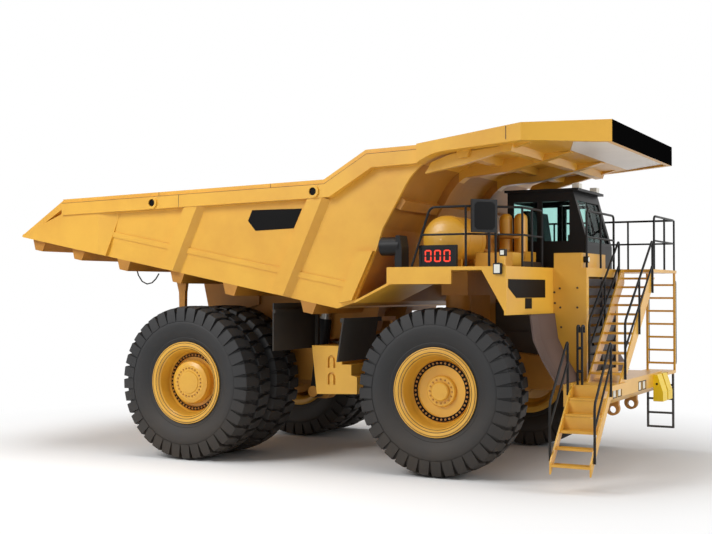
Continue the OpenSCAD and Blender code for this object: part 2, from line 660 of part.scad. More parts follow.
// Domed reservoir, a box with two filter canisters and a low locker.
module deck_gear() color(paint) {
  x = deck_rear_x + 750;
  y = -guard_half - 850;
  r = 430;
  z = deck_z + r + 70;
  half = 640;
  bulge = 210;
  dome = [for (a = [20 : 10 : 90]) [r * sin(a), half - bulge + bulge * cos(a)]];
  translate([x, y, z]) rotate([90, 0, 0]) rotate_extrude()
    polygon(concat([[0, -half]], [for (p = dome) [p[0], -p[1]]], flip(dome), [[0, half]]));
  for (d = [-300, 300]) bx(x - 260, x + 260, y + d - 40, y + d + 40, deck_z, z - 330);
  bx(x + 150, x + 850, -500, 100, deck_z, deck_z + 330);
  for (d = [350, 650]) translate([x + d, -200, deck_z + 320])
    rotate_extrude() polygon([[0, 0], [130, 0], [130, 640], [110, 710], [60, 750], [0, 750]]);
  bx(x + 500, x + 1200, y - 250, y + 350, deck_z, deck_z + 260);
}

// Two wheel chocks carried on the front of the bumper.
module wheel_chocks() color(bright) for (y = [1380, 1820])
  xz([[bumper_front_x, bumper_z - 170], [bumper_front_x + 190, bumper_z - 170],
    [bumper_front_x + 190, bumper_z + 10],
    [bumper_front_x + 80, platform_z - 30], [bumper_front_x, platform_z - 30]], y, y + 360);

// Rubber flaps before and behind the wheels and the curved splash panels beside the radiator.
module mud_flaps() color(rubber) both() {
  edge = -deck_half + 110;
  bx(1900, 1925, edge, -1320, rail_top_z, 3050);
  bx(1925, 1960, edge, -1320, 2860, 2930);
  bx(1960, 2030, -1400, -1320, 1950, 2930);
  xz([[3270, 1980], [3300, 1980], [3430, 2780], [3400, 2780]], edge, -1500);
  bx(3350, 3400, edge, -1300, 2700, 2780);
  xz(concat([[deck_front_x, panel_z - 1]], splash_line(0), flip(splash_line(30)),
    [[deck_front_x + 30, panel_z - 1]]), -2000, -guard_half);
}

// Axle housing with its banjo centre, spindles and the arm that locates it.
module rear_axle() color(paint_dark) {
  c = rear_track / 2 + pair_spacing / 2;
  half = [[0, c + 55], [hub_r, c + 55], [hub_r, c - 116], [430, c - 116], [430, 1500], [520, 1480],
    [520, 1180],
    [400, 1100], [400, 760], [560, 380]];
  translate([0, 0, axle_z]) spun(concat([for (p = half) [p[0], -p[1]]], flip(half)));
  xy([[-200, -480], [600, -420], [1250, -200], [1250, 200], [600, 420], [-200, 480]], axle_z - 170,
    axle_z + 130);
  both() bx(-560, -300, 220, 460, axle_z + 65, 1960);
}

module suspension_struts() color(grey) both() {
  difference() {
    cyl_z(wheelbase, -kingpin_y, strut_r, 2306, 3200);
    cyl_z(wheelbase, -kingpin_y, piston_r + fit, 2305, 2606);
  }
  cyl_z(-430, -340, 95, 1960, 2160);
  cyl_z(-430, -340, 125, 2100, 2350);
}

// Tow eyes under the bumper and the hitch behind the frame.
module tow_eyes() color(steel) {
  x = bumper_front_x - 240;
  z = bumper_z - 160;
  for (y = [-rail_y, rail_y]) difference() {
    union() {
      bx(x - 110, x + 110, y - 50, y + 50, z + 20, bumper_z);
      cyl_y(x, z + 20, 125, y - 50, y + 50);
    }
    cyl_y(x, z, tow_eye_r, y - 51, y + 51);
  }
  difference() {
    bx(-1330, -1150, -160, 160, 2300, 2470);
    cyl_z(-1250, 0, hitch_r, 2299, 2471);
  }
}

// Front wall of the bed: its foot, its two bends, and the arc that leads into the canopy.
wall_foot_x = 3230;
wall_low = [3600, 3075];
wall_knee = [4040, 4020];
wall_bend = [4160, 4400];
wall_angle = 59.2;
wall_straight = 900;
wall_thick = 70;
canopy_angle = 4.3;
seam_angle = 34;
arch_c = wall_bend + wall_straight * [cos(wall_angle), sin(wall_angle)] + arch_r * [sin(wall_angle),
  -cos(wall_angle)];
seam_x = arch_c[0] - arch_r * sin(seam_angle);
function arch_point(r, t) = arch_c + r * [-sin(t), cos(t)];
// the arc at radius r between two angles
function arch(r, t0, t1, n = 6) = [for (i = [0 : n]) arch_point(r, t0 + (t1 - t0) * i / n)];
// the angle at which radius r meets the seam's plane
function seam_at(r) = asin(arch_r * sin(seam_angle) / r);
// a point on the straight wall, s along it from the bend and d in front of it
function on_wall(s, d)
  = wall_bend + s * [cos(wall_angle), sin(wall_angle)] + d * [sin(wall_angle), -cos(wall_angle)];
wall_line = concat([wall_low, wall_knee, wall_bend], arch(arch_r, wall_angle, seam_angle));
rib_d = 150;
arch_rib_ys = [-1000, 1000];
arch_rib_w = 240;

module bed_floor()
  color(paint) xz([[tail_x, floor_at(tail_x)], [wall_foot_x - fit, floor_at(wall_foot_x - fit)],
  [wall_foot_x - fit, floor_at(wall_foot_x - fit) + floor_t], [tail_x, floor_at(tail_x) + floor_t]],
    -bed_in, bed_in);

module bed_front_wall() color(paint_dark) {
  r = arch_r + wall_thick;
  xz(concat([[wall_foot_x, 2990]], wall_line, arch(r, seam_at(r), wall_angle),
    [on_wall(40, -wall_thick), [3800, 4060], [wall_foot_x + 60, 3105]]), -bed_in, bed_in);
  // arched ribs and the box across them
  f = arch_r - rib_d;
  for (y = arch_rib_ys)
    xz(concat([on_wall(-150, -20), on_wall(60, rib_d)], arch(f, wall_angle, seam_at(f)),
    arch(arch_r + 25, seam_at(arch_r + 25), wall_angle)), y - arch_rib_w / 2, y + arch_rib_w / 2);
  xz([on_wall(430, -25), on_wall(450, 110), on_wall(640, 110), on_wall(660, -25)], -bed_in + 20,
    bed_in - 20);
}

// A leaning box rib with one bevelled side, cut off above the floor and below the rail.
lean = 25;
module side_rib(x) intersection() {
  translate([x, 0, floor_at(x)]) rotate([0, lean, 0]) translate([0, 0, -300])
    linear_extrude(2400)
      polygon([[0, -bed_wall + 30], [20, -bed_out + 20], [300, -bed_out + 20], [430, -bed_wall + 30]]);
  xz([[-2000, floor_at(-2000) + 25], [3300, floor_at(3300) + 25], [3300, 5060], [-2000, 4930]],
    -bed_out - 50, -bed_in);
}

// Line of the rail's top from the tail to x1 at the canopy, lowered by d.
function rail_line(d, x1 = seam_x - 2)
  = [[-3250, 5190 - d], [3010 + 0.4 * d, 5330 - d], [3880 + 0.4 * d, 5830 - d], [x1, 5860 - d]];

module bed_side_right() color(paint) {
  xz(concat([[tail_x, floor_at(tail_x)], [wall_foot_x, floor_at(wall_foot_x)]], wall_line,
    flip(rail_line(60, seam_x)), [[tail_x, 4440]]), -bed_wall, -bed_in);
  // top rail: a tall band under a narrower cap
  xz(concat(rail_line(80), flip(rail_line(330))), -bed_out, -bed_in - 4);
  xz(concat(rail_line(0), flip(rail_line(165))), -bed_out + 45, -bed_in - 4);
  // raised panel and sloped cap of the tail
  intersection() {
    xz([[tail_x + 40, floor_at(tail_x + 40) + 12], [-2150, floor_at(-2150) + 12], [-1800, 4950],
      [-3150, 4935], [tail_x + 45, 4480]],
      -bed_out, -bed_in - 8);
    xy([[tail_x, -bed_out + 40], [-2300, -bed_out + 40], [-1900, -bed_wall - 6], [-1700, -bed_wall - 6],
      [-1700, -bed_in],
      [tail_x, -bed_in]], 3000, 6000);
  }
  xz([[tail_x + 6, 4446], [-3235, 5175], [-3150, 5060], [tail_x + 160, 4425]], -bed_out + 45,
    -bed_in - 4);
  for (x = [-720, 1830]) side_rib(x);
  // strip along the wall
  xz([[-2080, floor_at(-2080) + 420], [3420, floor_at(3420) + 420], [3470, floor_at(3470) + 530],
    [-2060, floor_at(-2060) + 530]],
    -bed_wall - 25, -bed_in - 6);
  // raised corner panel
  xz([[3310, 3060], [3580, 3110], [4010, 4000], [3660, 4000]], -bed_out + 60, -bed_in - 10);
}
module bed_side_left() mirror([0, 1, 0]) bed_side_right();

// Canopy: a plate that carries the arc on to the front, a deep edge round it, ribs and cross boxes below.
canopy_kink_x = 6900;
function canopy_under(x)
  = let (e = arch_point(arch_r, canopy_angle)) e[1] + (x - e[0]) * tan(canopy_angle);
module bed_canopy() color(paint) {
  k = canopy_kink_x;
  h = canopy_half;
  g = canopy_front_half;
  r = arch_r + wall_thick;
  f = arch_r - rib_d;
  below = concat(arch(arch_r, seam_angle, canopy_angle),
    [[k, canopy_under(k)], [front_x, canopy_under(k) + 40]]);
  above = concat(arch(r, seam_at(r), canopy_angle),
    [[k, canopy_under(k) + 60], [front_x, canopy_under(k) + 100]]);
  intersection() {
    xy([[seam_x, -h + 60], [k, -h], [front_x, -g], [front_x, g], [k, h], [seam_x, h - 60]], 5400,
      canopy_top_z);
    union() {
      xz(concat(below, flip(above)), -4000, 4000);
      difference() {
        xz(concat(arch(arch_r, seam_angle, canopy_angle),
          [[k, canopy_under(k) - 12], [front_x, canopy_top_z - 380],
          [front_x, canopy_top_z], [k, canopy_top_z - 80], [seam_x, 5860]]), -4000, 4000);
        xy([[seam_x - 100, -bed_in], [seam_x, -bed_in], [seam_x + 400, -h + 150], [k - 40, -h + 100],
          [front_x - 100, -g + 60],
          [front_x - 100, g - 60], [k - 40, h - 100], [seam_x + 400, h - 150], [seam_x, bed_in],
            [seam_x - 100, bed_in]], 5300, 6400);
      }
    }
  }
  for (y = arch_rib_ys) xz(concat(arch(f, seam_at(f), canopy_angle),
    [[k + 200, canopy_under(k) + 20], [k + 250, canopy_under(k) + 40]],
    arch(arch_r + 25, canopy_angle, seam_at(arch_r + 25))), y - arch_rib_w / 2, y + arch_rib_w / 2);
  for (x = [seam_x + 650, seam_x + 1450])
    xz([[x, canopy_under(x) + 20], [x + 50, canopy_under(x) - 120], [x + 210, canopy_under(x) - 110],
    [x + 260, canopy_under(x + 260) + 20]], -h + 300, h - 300);
}

// Two beams that rest on the rails, the pivot ears and pin on both sides of each rail, and the hoist ears.
module bed_beams() color(paint_dark) both() {
  ear = 60;
  gap = 6;
  front = 3100;
  xz([[-380, 2600], [560, 2600], [1400, rail_top_z + 40], [front - 120, rail_top_z + 330],
    [front, under(front)], [-380, under(-380)]], rail_in, rail_out);
  for (y = [rail_in - gap - ear, rail_out + gap])
    xz([[300, under(300)], [-1200, under(-1200)], [pivot_x - 200, pivot_z],
    [pivot_x - 130, pivot_z - 150], [pivot_x, pivot_z - 200], [pivot_x + 130, pivot_z - 150],
      [pivot_x + 200, pivot_z], [300, 3000]], y, y + ear);
  cyl_y(pivot_x, pivot_z, pivot_r, rail_in - gap - ear, rail_out + gap + ear);
  bx(-380, 300, rail_out, rail_out + gap + 1, 3000, under(300));
  bx(-380, 300, rail_in - gap - 1, rail_in, 3000, under(300));
  for (y = [hoist_y - rod_r - 55, hoist_y + rod_r + 15])
    xz([[hoist_high_x - 220, under(hoist_high_x - 220)], [hoist_high_x - 140, hoist_high_z - 150],
      [hoist_high_x + 140, hoist_high_z - 150],
      [hoist_high_x + 220, under(hoist_high_x + 220)]], y, y + 40);
}

// Bolsters across the floor, cut where the beams and ears stand.
module bolster(x, y0, y1) xz([[x, under(x)], [x + 60, under(x + 60) - 210],
  [x + 260, under(x + 260) - 210], [x + 340, under(x + 340)]], y0, y1);
module bed_bolsters() color(paint_dark) {
  ear = 66;
  for (x = [-4180, -3100, -1900]) bolster(x, -bed_wall, bed_wall);
  both() bolster(-560, rail_out + ear, bed_wall);
  bolster(-560, -rail_in + ear, rail_in - ear);
  for (x = [700, 2450]) {
    both() bolster(x, rail_out, bed_wall);
    bolster(x, -rail_in, rail_in);
  }
}

module lifting_rings() color(paint) both() for (p = [[-890, 5035], [2810, 5115]]) difference() {
  cyl_y(p[0], p[1], lift_bore_r + 45, -bed_out - 30, -bed_out);
  cyl_y(p[0], p[1], lift_bore_r, -bed_out - 31, -bed_out + 1);
}

// Hangers between the twin tyres.
module rock_ejectors() color(paint_dark) both()
  xz([[-930, under(-930)], [-790, 3250], [-765, 2400], [-655, 2400], [-640, 3250], [-575, under(-575)]],
    -rear_track / 2 - 45, -rear_track / 2 + 45);

module hoist_at()
  both() translate([hoist_low_x, -hoist_y, hoist_low_z]) rotate([0, hoist_angle, 0]) children();
module hoist_barrels() color(black) hoist_at() difference() {
  union() {
    translate([0, 0, 150]) cylinder(r = barrel_r, h = 1330);
    rotate([90, 0, 0]) translate([0, 0, -110]) cylinder(r = 130, h = 220);
    bx(-100, 100, -90, 90, 60, 200);
  }
  translate([0, 0, 240]) cylinder(r = stage_r + fit, h = 1300);
  rotate([90, 0, 0]) translate([0, 0, -120]) cylinder(r = hoist_pin_r + fit, h = 240);
}
module hoist_stages() color(steel) hoist_at() difference() {
  translate([0, 0, 250]) cylinder(r = stage_r, h = 1270);
  translate([0, 0, 290]) cylinder(r = rod_r + fit, h = 1300);
}
module hoist_rods() color(steel) hoist_at() {
  translate([0, 0, 300]) cylinder(r = rod_r, h = hoist_closed - 400);
  rotate([90, 0, 0]) translate([0, hoist_closed, -60]) difference() {
    cylinder(r = 125, h = 120);
    translate([0, 0, -1]) cylinder(r = 60, h = 122);
  }
}

place() chassis_frame();
place() front_bumper();
place() engine_block();
place() radiator_guard();
place() radiator_grille();
place() decks();
place() cab_shell();
place() cab_glass();
place() cab_interior();
place() side_tanks();
place() front_stairs();
place() left_ladder();
place() handrails();
place() mirrors();
place() payload_display();
place() exhaust_outlet();
place() deck_gear();
place() wheel_chocks();
place() lamps();
place() mud_flaps();
place() rear_axle();
place() suspension_struts();
place() tow_eyes();
place() cab_door();
place() door_glass();
place() bed_floor();
place() bed_side_right();
place() bed_side_left();
place() bed_front_wall();
place() bed_canopy();
place() bed_beams();
place() bed_bolsters();
place() lifting_rings();
place() rock_ejectors();
place() hoist_barrels();
place() hoist_stages();
place() hoist_rods();
place() knuckle_right();
place() knuckle_left();
place() tie_rod();
place() tyre_front_right();
place() rim_front_right();
place() tyre_front_left();
place() rim_front_left();
place() tyres_rear_right();
place() rims_rear_right();
place() tyres_rear_left();
place() rims_rear_left();
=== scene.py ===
import math

import bmesh
import bpy
from mathutils import Matrix, Vector


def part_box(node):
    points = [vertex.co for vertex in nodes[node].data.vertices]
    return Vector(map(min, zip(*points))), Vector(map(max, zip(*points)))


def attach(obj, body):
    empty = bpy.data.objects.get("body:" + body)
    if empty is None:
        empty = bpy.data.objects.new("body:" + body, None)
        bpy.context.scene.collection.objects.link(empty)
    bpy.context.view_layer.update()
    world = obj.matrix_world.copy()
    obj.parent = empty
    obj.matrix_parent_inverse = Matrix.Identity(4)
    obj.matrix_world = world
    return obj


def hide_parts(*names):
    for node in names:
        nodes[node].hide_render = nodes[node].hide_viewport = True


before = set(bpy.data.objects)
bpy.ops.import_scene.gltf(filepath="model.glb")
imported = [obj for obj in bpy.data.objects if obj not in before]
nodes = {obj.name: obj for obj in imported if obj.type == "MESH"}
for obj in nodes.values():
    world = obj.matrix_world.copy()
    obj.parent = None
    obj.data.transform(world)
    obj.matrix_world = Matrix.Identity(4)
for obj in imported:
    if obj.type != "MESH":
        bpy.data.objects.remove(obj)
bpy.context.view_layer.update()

scene = bpy.context.scene


def boxOf(node):
    low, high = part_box(node)
    return Vector(low), Vector(high)


def middleOf(node):
    low, high = boxOf(node)
    return (low + high) / 2


# Lengths along the truck are counted from the rear axle
rearAxleX = middleOf("tyres_rear_right").x


def at(x, y, z):
    return Vector((x + rearAxleX, y, z))


# Camera, floor and light
camera = dict(place=(13.547, -21.515, 3.285), yaw=27.92, pitch=1.162, lens=58.85, sensor=36, reach=300)
studio = dict(floorHalf=60, floorTone=0.86, fadeStart=6.0, fadeEnd=12.0, skyLevel=0.40)
lights = {
    "keyLight": dict(place=(-7, -16, 14), target=(0, 0, 3), size=9, power=1950),
    "fillLight": dict(place=(17, -2, 8), target=(2, 0, 2.5), size=8, power=800),
    "topLight": dict(place=(-2, 0, 18), target=(0, 0, 0), size=14, power=2300),
}
white = (1, 1, 1, 1)


def makeCamera():
    data = bpy.data.cameras.new("photoCamera")
    data.lens = camera["lens"]
    data.sensor_width = camera["sensor"]
    data.clip_end = camera["reach"]
    obj = bpy.data.objects.new("photoCamera", data)
    obj.location = at(*camera["place"])
    obj.rotation_euler = (math.radians(90 + camera["pitch"]), 0, math.radians(camera["yaw"]))
    scene.collection.objects.link(obj)
    scene.camera = obj


def areaLight(name, place, target, size, power):
    data = bpy.data.lights.new(name, "AREA")
    data.shape = "DISK"
    data.size = size
    data.energy = power
    obj = bpy.data.objects.new(name, data)
    obj.location = place
    obj.rotation_euler = (Vector(target) - Vector(place)).to_track_quat("-Z", "Y").to_euler()
    scene.collection.objects.link(obj)


def mathNode(tree, operation):
    node = tree.nodes.new("ShaderNodeMath")
    node.operation = operation
    return node


def colourMix(tree):
    node = tree.nodes.new("ShaderNodeMix")
    node.data_type = "RGBA"
    return node


def seenDirectly(tree):
    # 1 for rays from the camera, from gloss and through glass, else 0
    path = tree.nodes.new("ShaderNodeLightPath")
    first, both = mathNode(tree, "MAXIMUM"), mathNode(tree, "MAXIMUM")
    tree.links.new(path.outputs["Is Camera Ray"], first.inputs[0])
    tree.links.new(path.outputs["Is Glossy Ray"], first.inputs[1])
    tree.links.new(first.outputs[0], both.inputs[0])
    tree.links.new(path.outputs["Is Transmission Ray"], both.inputs[1])
    return both.outputs[0]


def makeWorld():
    world = bpy.data.worlds.new("studioWorld")
    scene.world = world
    world.use_nodes = True
    tree = world.node_tree
    tree.nodes.clear()
    sky = tree.nodes.new("ShaderNodeBackground")
    sky.inputs["Strength"].default_value = studio["skyLevel"]
    backdrop = tree.nodes.new("ShaderNodeBackground")
    mix = tree.nodes.new("ShaderNodeMixShader")
    out = tree.nodes.new("ShaderNodeOutputWorld")
    for node in (sky, backdrop):
        node.inputs["Color"].default_value = white
    tree.links.new(seenDirectly(tree), mix.inputs[0])
    tree.links.new(sky.outputs[0], mix.inputs[1])
    tree.links.new(backdrop.outputs[0], mix.inputs[2])
    tree.links.new(mix.outputs[0], out.inputs["Surface"])


def makeFloorPaint():
    # matte round the truck, fading into the white backdrop
    mat = bpy.data.materials.new("paleFloor")
    mat.use_nodes = True
    tree = mat.node_tree
    tree.nodes.clear()
    tone = studio["floorTone"]
    matte = tree.nodes.new("ShaderNodeBsdfDiffuse")
    matte.inputs["Color"].default_value = (tone, tone, tone, 1)
    glow = tree.nodes.new("ShaderNodeEmission")
    glow.inputs["Color"].default_value = white
    coords = tree.nodes.new("ShaderNodeTexCoord")
    length = tree.nodes.new("ShaderNodeVectorMath")
    length.operation = "LENGTH"
    fade = tree.nodes.new("ShaderNodeMapRange")
    fade.interpolation_type = "SMOOTHSTEP"
    fade.inputs["From Min"].default_value = studio["fadeStart"]
    fade.inputs["From Max"].default_value = studio["fadeEnd"]
    seen = mathNode(tree, "MULTIPLY")
    mix = tree.nodes.new("ShaderNodeMixShader")
    out = tree.nodes.new("ShaderNodeOutputMaterial")
    tree.links.new(coords.outputs["Object"], length.inputs[0])
    tree.links.new(length.outputs["Value"], fade.inputs["Value"])
    tree.links.new(fade.outputs["Result"], seen.inputs[0])
    tree.links.new(seenDirectly(tree), seen.inputs[1])
    tree.links.new(seen.outputs[0], mix.inputs[0])
    tree.links.new(matte.outputs[0], mix.inputs[1])
    tree.links.new(glow.outputs[0], mix.inputs[2])
    tree.links.new(mix.outputs[0], out.inputs["Surface"])
    return mat


def makeFloor():
    bm = bmesh.new()
    bmesh.ops.create_grid(bm, x_segments=1, y_segments=1, size=studio["floorHalf"])
    mesh = bpy.data.meshes.new("studioFloor")
    bm.to_mesh(mesh)
    bm.free()
    mesh.materials.append(makeFloorPaint())
    floor = bpy.data.objects.new("studioFloor", mesh)
    scene.collection.objects.link(floor)


makeCamera()
makeWorld()
makeFloor()
for lightName, lightSpec in lights.items():
    areaLight(lightName, **lightSpec)
scene.view_settings.view_transform = "Standard"
print("camera, floor and light set")

# Surface effects shared by the finishes
grainForm = dict(detail=5, rough=0.62, low=0.38, high=0.72, fineScale=90, fineDetail=3)
dustForm = dict(scale=2.2, detail=6)


def makeGroup(name, takes, gives):
    group = bpy.data.node_groups.new(name, "ShaderNodeTree")
    for way, sockets in (("INPUT", takes), ("OUTPUT", gives)):
        for socketName, kind in sockets.items():
            group.interface.new_socket(name=socketName, in_out=way, socket_type="NodeSocket" + kind)
    return group, group.nodes.new("NodeGroupInput"), group.nodes.new("NodeGroupOutput")


def makeGrainGroup():
    # soft blotches in a colour, and a fine height for a bump
    group, enter, leave = makeGroup(
        "paintGrain", {"Color": "Color", "Shade": "Color", "Scale": "Float", "Amount": "Float"},
        {"Color": "Color", "Height": "Float"})
    n, l = group.nodes, group.links
    coords = n.new("ShaderNodeTexCoord")
    blotch = n.new("ShaderNodeTexNoise")
    blotch.inputs["Detail"].default_value = grainForm["detail"]
    blotch.inputs["Roughness"].default_value = grainForm["rough"]
    fine = n.new("ShaderNodeTexNoise")
    fine.inputs["Scale"].default_value = grainForm["fineScale"]
    fine.inputs["Detail"].default_value = grainForm["fineDetail"]
    spread = n.new("ShaderNodeMapRange")
    spread.inputs["From Min"].default_value = grainForm["low"]
    spread.inputs["From Max"].default_value = grainForm["high"]
    weigh = mathNode(group, "MULTIPLY")
    mix = colourMix(group)
    l.new(coords.outputs["Object"], blotch.inputs["Vector"])
    l.new(coords.outputs["Object"], fine.inputs["Vector"])
    l.new(enter.outputs["Scale"], blotch.inputs["Scale"])
    l.new(blotch.outputs["Fac"], spread.inputs["Value"])
    l.new(spread.outputs["Result"], weigh.inputs[0])
    l.new(enter.outputs["Amount"], weigh.inputs[1])
    l.new(weigh.outputs[0], mix.inputs["Factor"])
    l.new(enter.outputs["Color"], mix.inputs["A"])
    l.new(enter.outputs["Shade"], mix.inputs["B"])
    l.new(mix.outputs["Result"], leave.inputs["Color"])
    l.new(fine.outputs["Fac"], leave.inputs["Height"])
    return group


def makeDustGroup():
    # road dust, thick near the ground and thinning out upwards
    group, enter, leave = makeGroup(
        "roadDust", {"Color": "Color", "Dust": "Color", "Top": "Float", "Amount": "Float"},
        {"Color": "Color", "Mask": "Float"})
    n, l = group.nodes, group.links
    coords = n.new("ShaderNodeTexCoord")
    split = n.new("ShaderNodeSeparateXYZ")
    fall = n.new("ShaderNodeMapRange")
    fall.inputs["From Min"].default_value = 0
    fall.inputs["To Min"].default_value = 1
    fall.inputs["To Max"].default_value = 0
    cloud = n.new("ShaderNodeTexNoise")
    cloud.inputs["Scale"].default_value = dustForm["scale"]
    cloud.inputs["Detail"].default_value = dustForm["detail"]
    thick, weigh = mathNode(group, "MULTIPLY"), mathNode(group, "MULTIPLY")
    mix = colourMix(group)
    l.new(coords.outputs["Object"], split.inputs[0])
    l.new(coords.outputs["Object"], cloud.inputs["Vector"])
    l.new(split.outputs["Z"], fall.inputs["Value"])
    l.new(enter.outputs["Top"], fall.inputs["From Max"])
    l.new(fall.outputs["Result"], thick.inputs[0])
    l.new(cloud.outputs["Fac"], thick.inputs[1])
    l.new(thick.outputs[0], weigh.inputs[0])
    l.new(enter.outputs["Amount"], weigh.inputs[1])
    l.new(weigh.outputs[0], mix.inputs["Factor"])
    l.new(enter.outputs["Color"], mix.inputs["A"])
    l.new(enter.outputs["Dust"], mix.inputs["B"])
    l.new(mix.outputs["Result"], leave.inputs["Color"])
    l.new(weigh.outputs[0], leave.inputs["Mask"])
    return group


grainGroup = makeGrainGroup()
dustGroup = makeDustGroup()


# Finishes: split gives another colour beyond a level along an axis, or below it where the level is negative
def tint(r, g, b):
    # a colour as the eye reads it, turned into the shader's linear value
    return tuple(c / 12.92 if c <= 0.04045 else ((c + 0.055) / 1.055) ** 2.4 for c in (r, g, b)) + (1,)


surface = dict(grainScale=0.9, grainAmount=0.6, bump=0.06, bumpDepth=0.004, gloss=0.5, coatRough=0.25,
               dustColour=(0.55, 0.45, 0.32))
blackTone = (0.075, 0.075, 0.08)
fasciaTone = (0.03, 0.03, 0.03)
splashTone = (0.325, 0.248, 0.225)
fasciaX = at(8.198, 0, 0).x
splashX = at(6.7, 0, 0).x
yellowPaint = dict(colour=(0.885, 0.672, 0.22), shade=(0.81, 0.572, 0.165), rough=0.38, dust=0.2, top=2.2,
                   coat=0.25)
finishes = {
    "truckPaint": yellowPaint,
    "canopyPaint": dict(yellowPaint, coat=0.0, split=("X", fasciaX, fasciaTone), matteSplit=True),
    "ladderPaint": dict(yellowPaint, split=("Z", -1.56, blackTone)),
    "framePaint": dict(colour=(0.72, 0.49, 0.16), shade=(0.55, 0.37, 0.13), rough=0.5, dust=0.35, top=3.2),
    "blackPaint": dict(colour=blackTone, shade=(0.11, 0.11, 0.11), rough=0.45, gloss=0.22, dust=0.08,
                       top=2.0),
    "greyCasting": dict(colour=(0.30, 0.27, 0.24), shade=(0.20, 0.18, 0.17), rough=0.55, dust=0.4, top=2.5),
    "bareSteel": dict(colour=(0.62, 0.61, 0.59), shade=(0.48, 0.47, 0.45), rough=0.32, metal=1.0, dust=0.1,
                      top=1.5),
    "flapRubber": dict(colour=(0.10, 0.10, 0.10), shade=(0.15, 0.145, 0.14), rough=0.75, dust=0.3, top=3.5,
                       split=("X", splashX, splashTone)),
    "brightPaint": dict(colour=(0.97, 0.83, 0.05), shade=(0.92, 0.74, 0.04), rough=0.4, dust=0.1, top=1.5),
    "cabTrim": dict(colour=(0.22, 0.22, 0.24), shade=(0.15, 0.15, 0.16), rough=0.7, dust=0.0, top=1.0),
    "grilleGrey": dict(colour=(0.20, 0.18, 0.18), shade=(0.15, 0.13, 0.13), rough=0.5, dust=0.1, top=2.0),
    "tyreRubber": dict(colour=(0.105, 0.105, 0.11), shade=(0.155, 0.15, 0.148), rough=0.66, dust=0.18,
                       top=1.6),
    "plateBlack": dict(colour=(0.05, 0.05, 0.055), shade=(0.07, 0.07, 0.07), rough=0.4, gloss=0.08, dust=0.0,
                       top=1.0),
    "studBrown": dict(colour=(0.26, 0.17, 0.08), shade=(0.18, 0.12, 0.06), rough=0.5, dust=0.2, top=2.0),
    "splashGrey": dict(colour=splashTone, shade=(0.29, 0.228, 0.21), rough=0.6, dust=0.2, top=3.0),
    # near white: painted reflection of the white floor, for the canopy's front underside
    "floorReflectionPaint": dict(colour=(0.93, 0.91, 0.88), shade=(0.88, 0.86, 0.83), rough=0.4, dust=0.0, top=1.0),
}
glass = dict(colour=(0.80, 0.92, 0.90), rough=0.04, bend=1.06)
glows = {
    "redDigit": dict(colour=(1.0, 0.22, 0.12), strength=0.8, rough=0.3),
    "lampLens": dict(colour=(0.86, 0.86, 0.82), strength=0.12, rough=0.3),
}
materials = {}


def newMaterial(name):
    mat = bpy.data.materials.new(name)
    mat.use_nodes = True
    materials[name] = mat
    return mat.node_tree, mat.node_tree.nodes["Principled BSDF"]


def splitColour(tree, colour, axis, level, other):
    coords = tree.nodes.new("ShaderNodeTexCoord")
    parts = tree.nodes.new("ShaderNodeSeparateXYZ")
    beyond = mathNode(tree, "LESS_THAN" if level < 0 else "GREATER_THAN")
    beyond.inputs[1].default_value = abs(level)
    mix = colourMix(tree)
    mix.inputs["B"].default_value = tint(*other)
    tree.links.new(coords.outputs["Object"], parts.inputs[0])
    tree.links.new(parts.outputs[axis], beyond.inputs[0])
    tree.links.new(beyond.outputs[0], mix.inputs["Factor"])
    tree.links.new(colour, mix.inputs["A"])
    return mix.outputs["Result"], beyond.outputs[0]


def makeFinish(name, spec):
    tree, shader = newMaterial(name)
    n, l = tree.nodes, tree.links
    grain = n.new("ShaderNodeGroup")
    grain.node_tree = grainGroup
    grain.inputs["Color"].default_value = tint(*spec["colour"])
    grain.inputs["Shade"].default_value = tint(*spec["shade"])
    grain.inputs["Scale"].default_value = surface["grainScale"]
    grain.inputs["Amount"].default_value = surface["grainAmount"]
    dust = n.new("ShaderNodeGroup")
    dust.node_tree = dustGroup
    dust.inputs["Dust"].default_value = tint(*surface["dustColour"])
    dust.inputs["Top"].default_value = spec["top"]
    dust.inputs["Amount"].default_value = spec["dust"]
    bump = n.new("ShaderNodeBump")
    bump.inputs["Strength"].default_value = surface["bump"]
    bump.inputs["Distance"].default_value = surface["bumpDepth"]
    colour = grain.outputs["Color"]
    if "split" in spec:
        colour, beyond = splitColour(tree, colour, *spec["split"])
        if spec.get("matteSplit"):
            # no gloss beyond the split, where the face would mirror the backdrop
            sheen = mathNode(tree, "MULTIPLY_ADD")
            sheen.inputs[1].default_value = -surface["gloss"]
            sheen.inputs[2].default_value = surface["gloss"]
            l.new(beyond, sheen.inputs[0])
            l.new(sheen.outputs[0], shader.inputs["Specular IOR Level"])
    l.new(colour, dust.inputs["Color"])
    l.new(dust.outputs["Color"], shader.inputs["Base Color"])
    l.new(grain.outputs["Height"], bump.inputs["Height"])
    l.new(bump.outputs["Normal"], shader.inputs["Normal"])
    shader.inputs["Roughness"].default_value = spec["rough"]
    shader.inputs["Specular IOR Level"].default_value = spec.get("gloss", surface["gloss"])
    shader.inputs["Metallic"].default_value = spec.get("metal", 0.0)
    shader.inputs["Coat Weight"].default_value = spec.get("coat", 0.0)
    shader.inputs["Coat Roughness"].default_value = surface["coatRough"]


def makeGlass():
    shader = newMaterial("windowGlass")[1]
    shader.inputs["Base Color"].default_value = tint(*glass["colour"])
    shader.inputs["Roughness"].default_value = glass["rough"]
    shader.inputs["Transmission Weight"].default_value = 1.0
    shader.inputs["IOR"].default_value = glass["bend"]


def makeGlow(name, colour, strength, rough):
    shader = newMaterial(name)[1]
    shader.inputs["Base Color"].default_value = tint(*colour)
    shader.inputs["Emission Color"].default_value = tint(*colour)
    shader.inputs["Emission Strength"].default_value = strength
    shader.inputs["Roughness"].default_value = rough


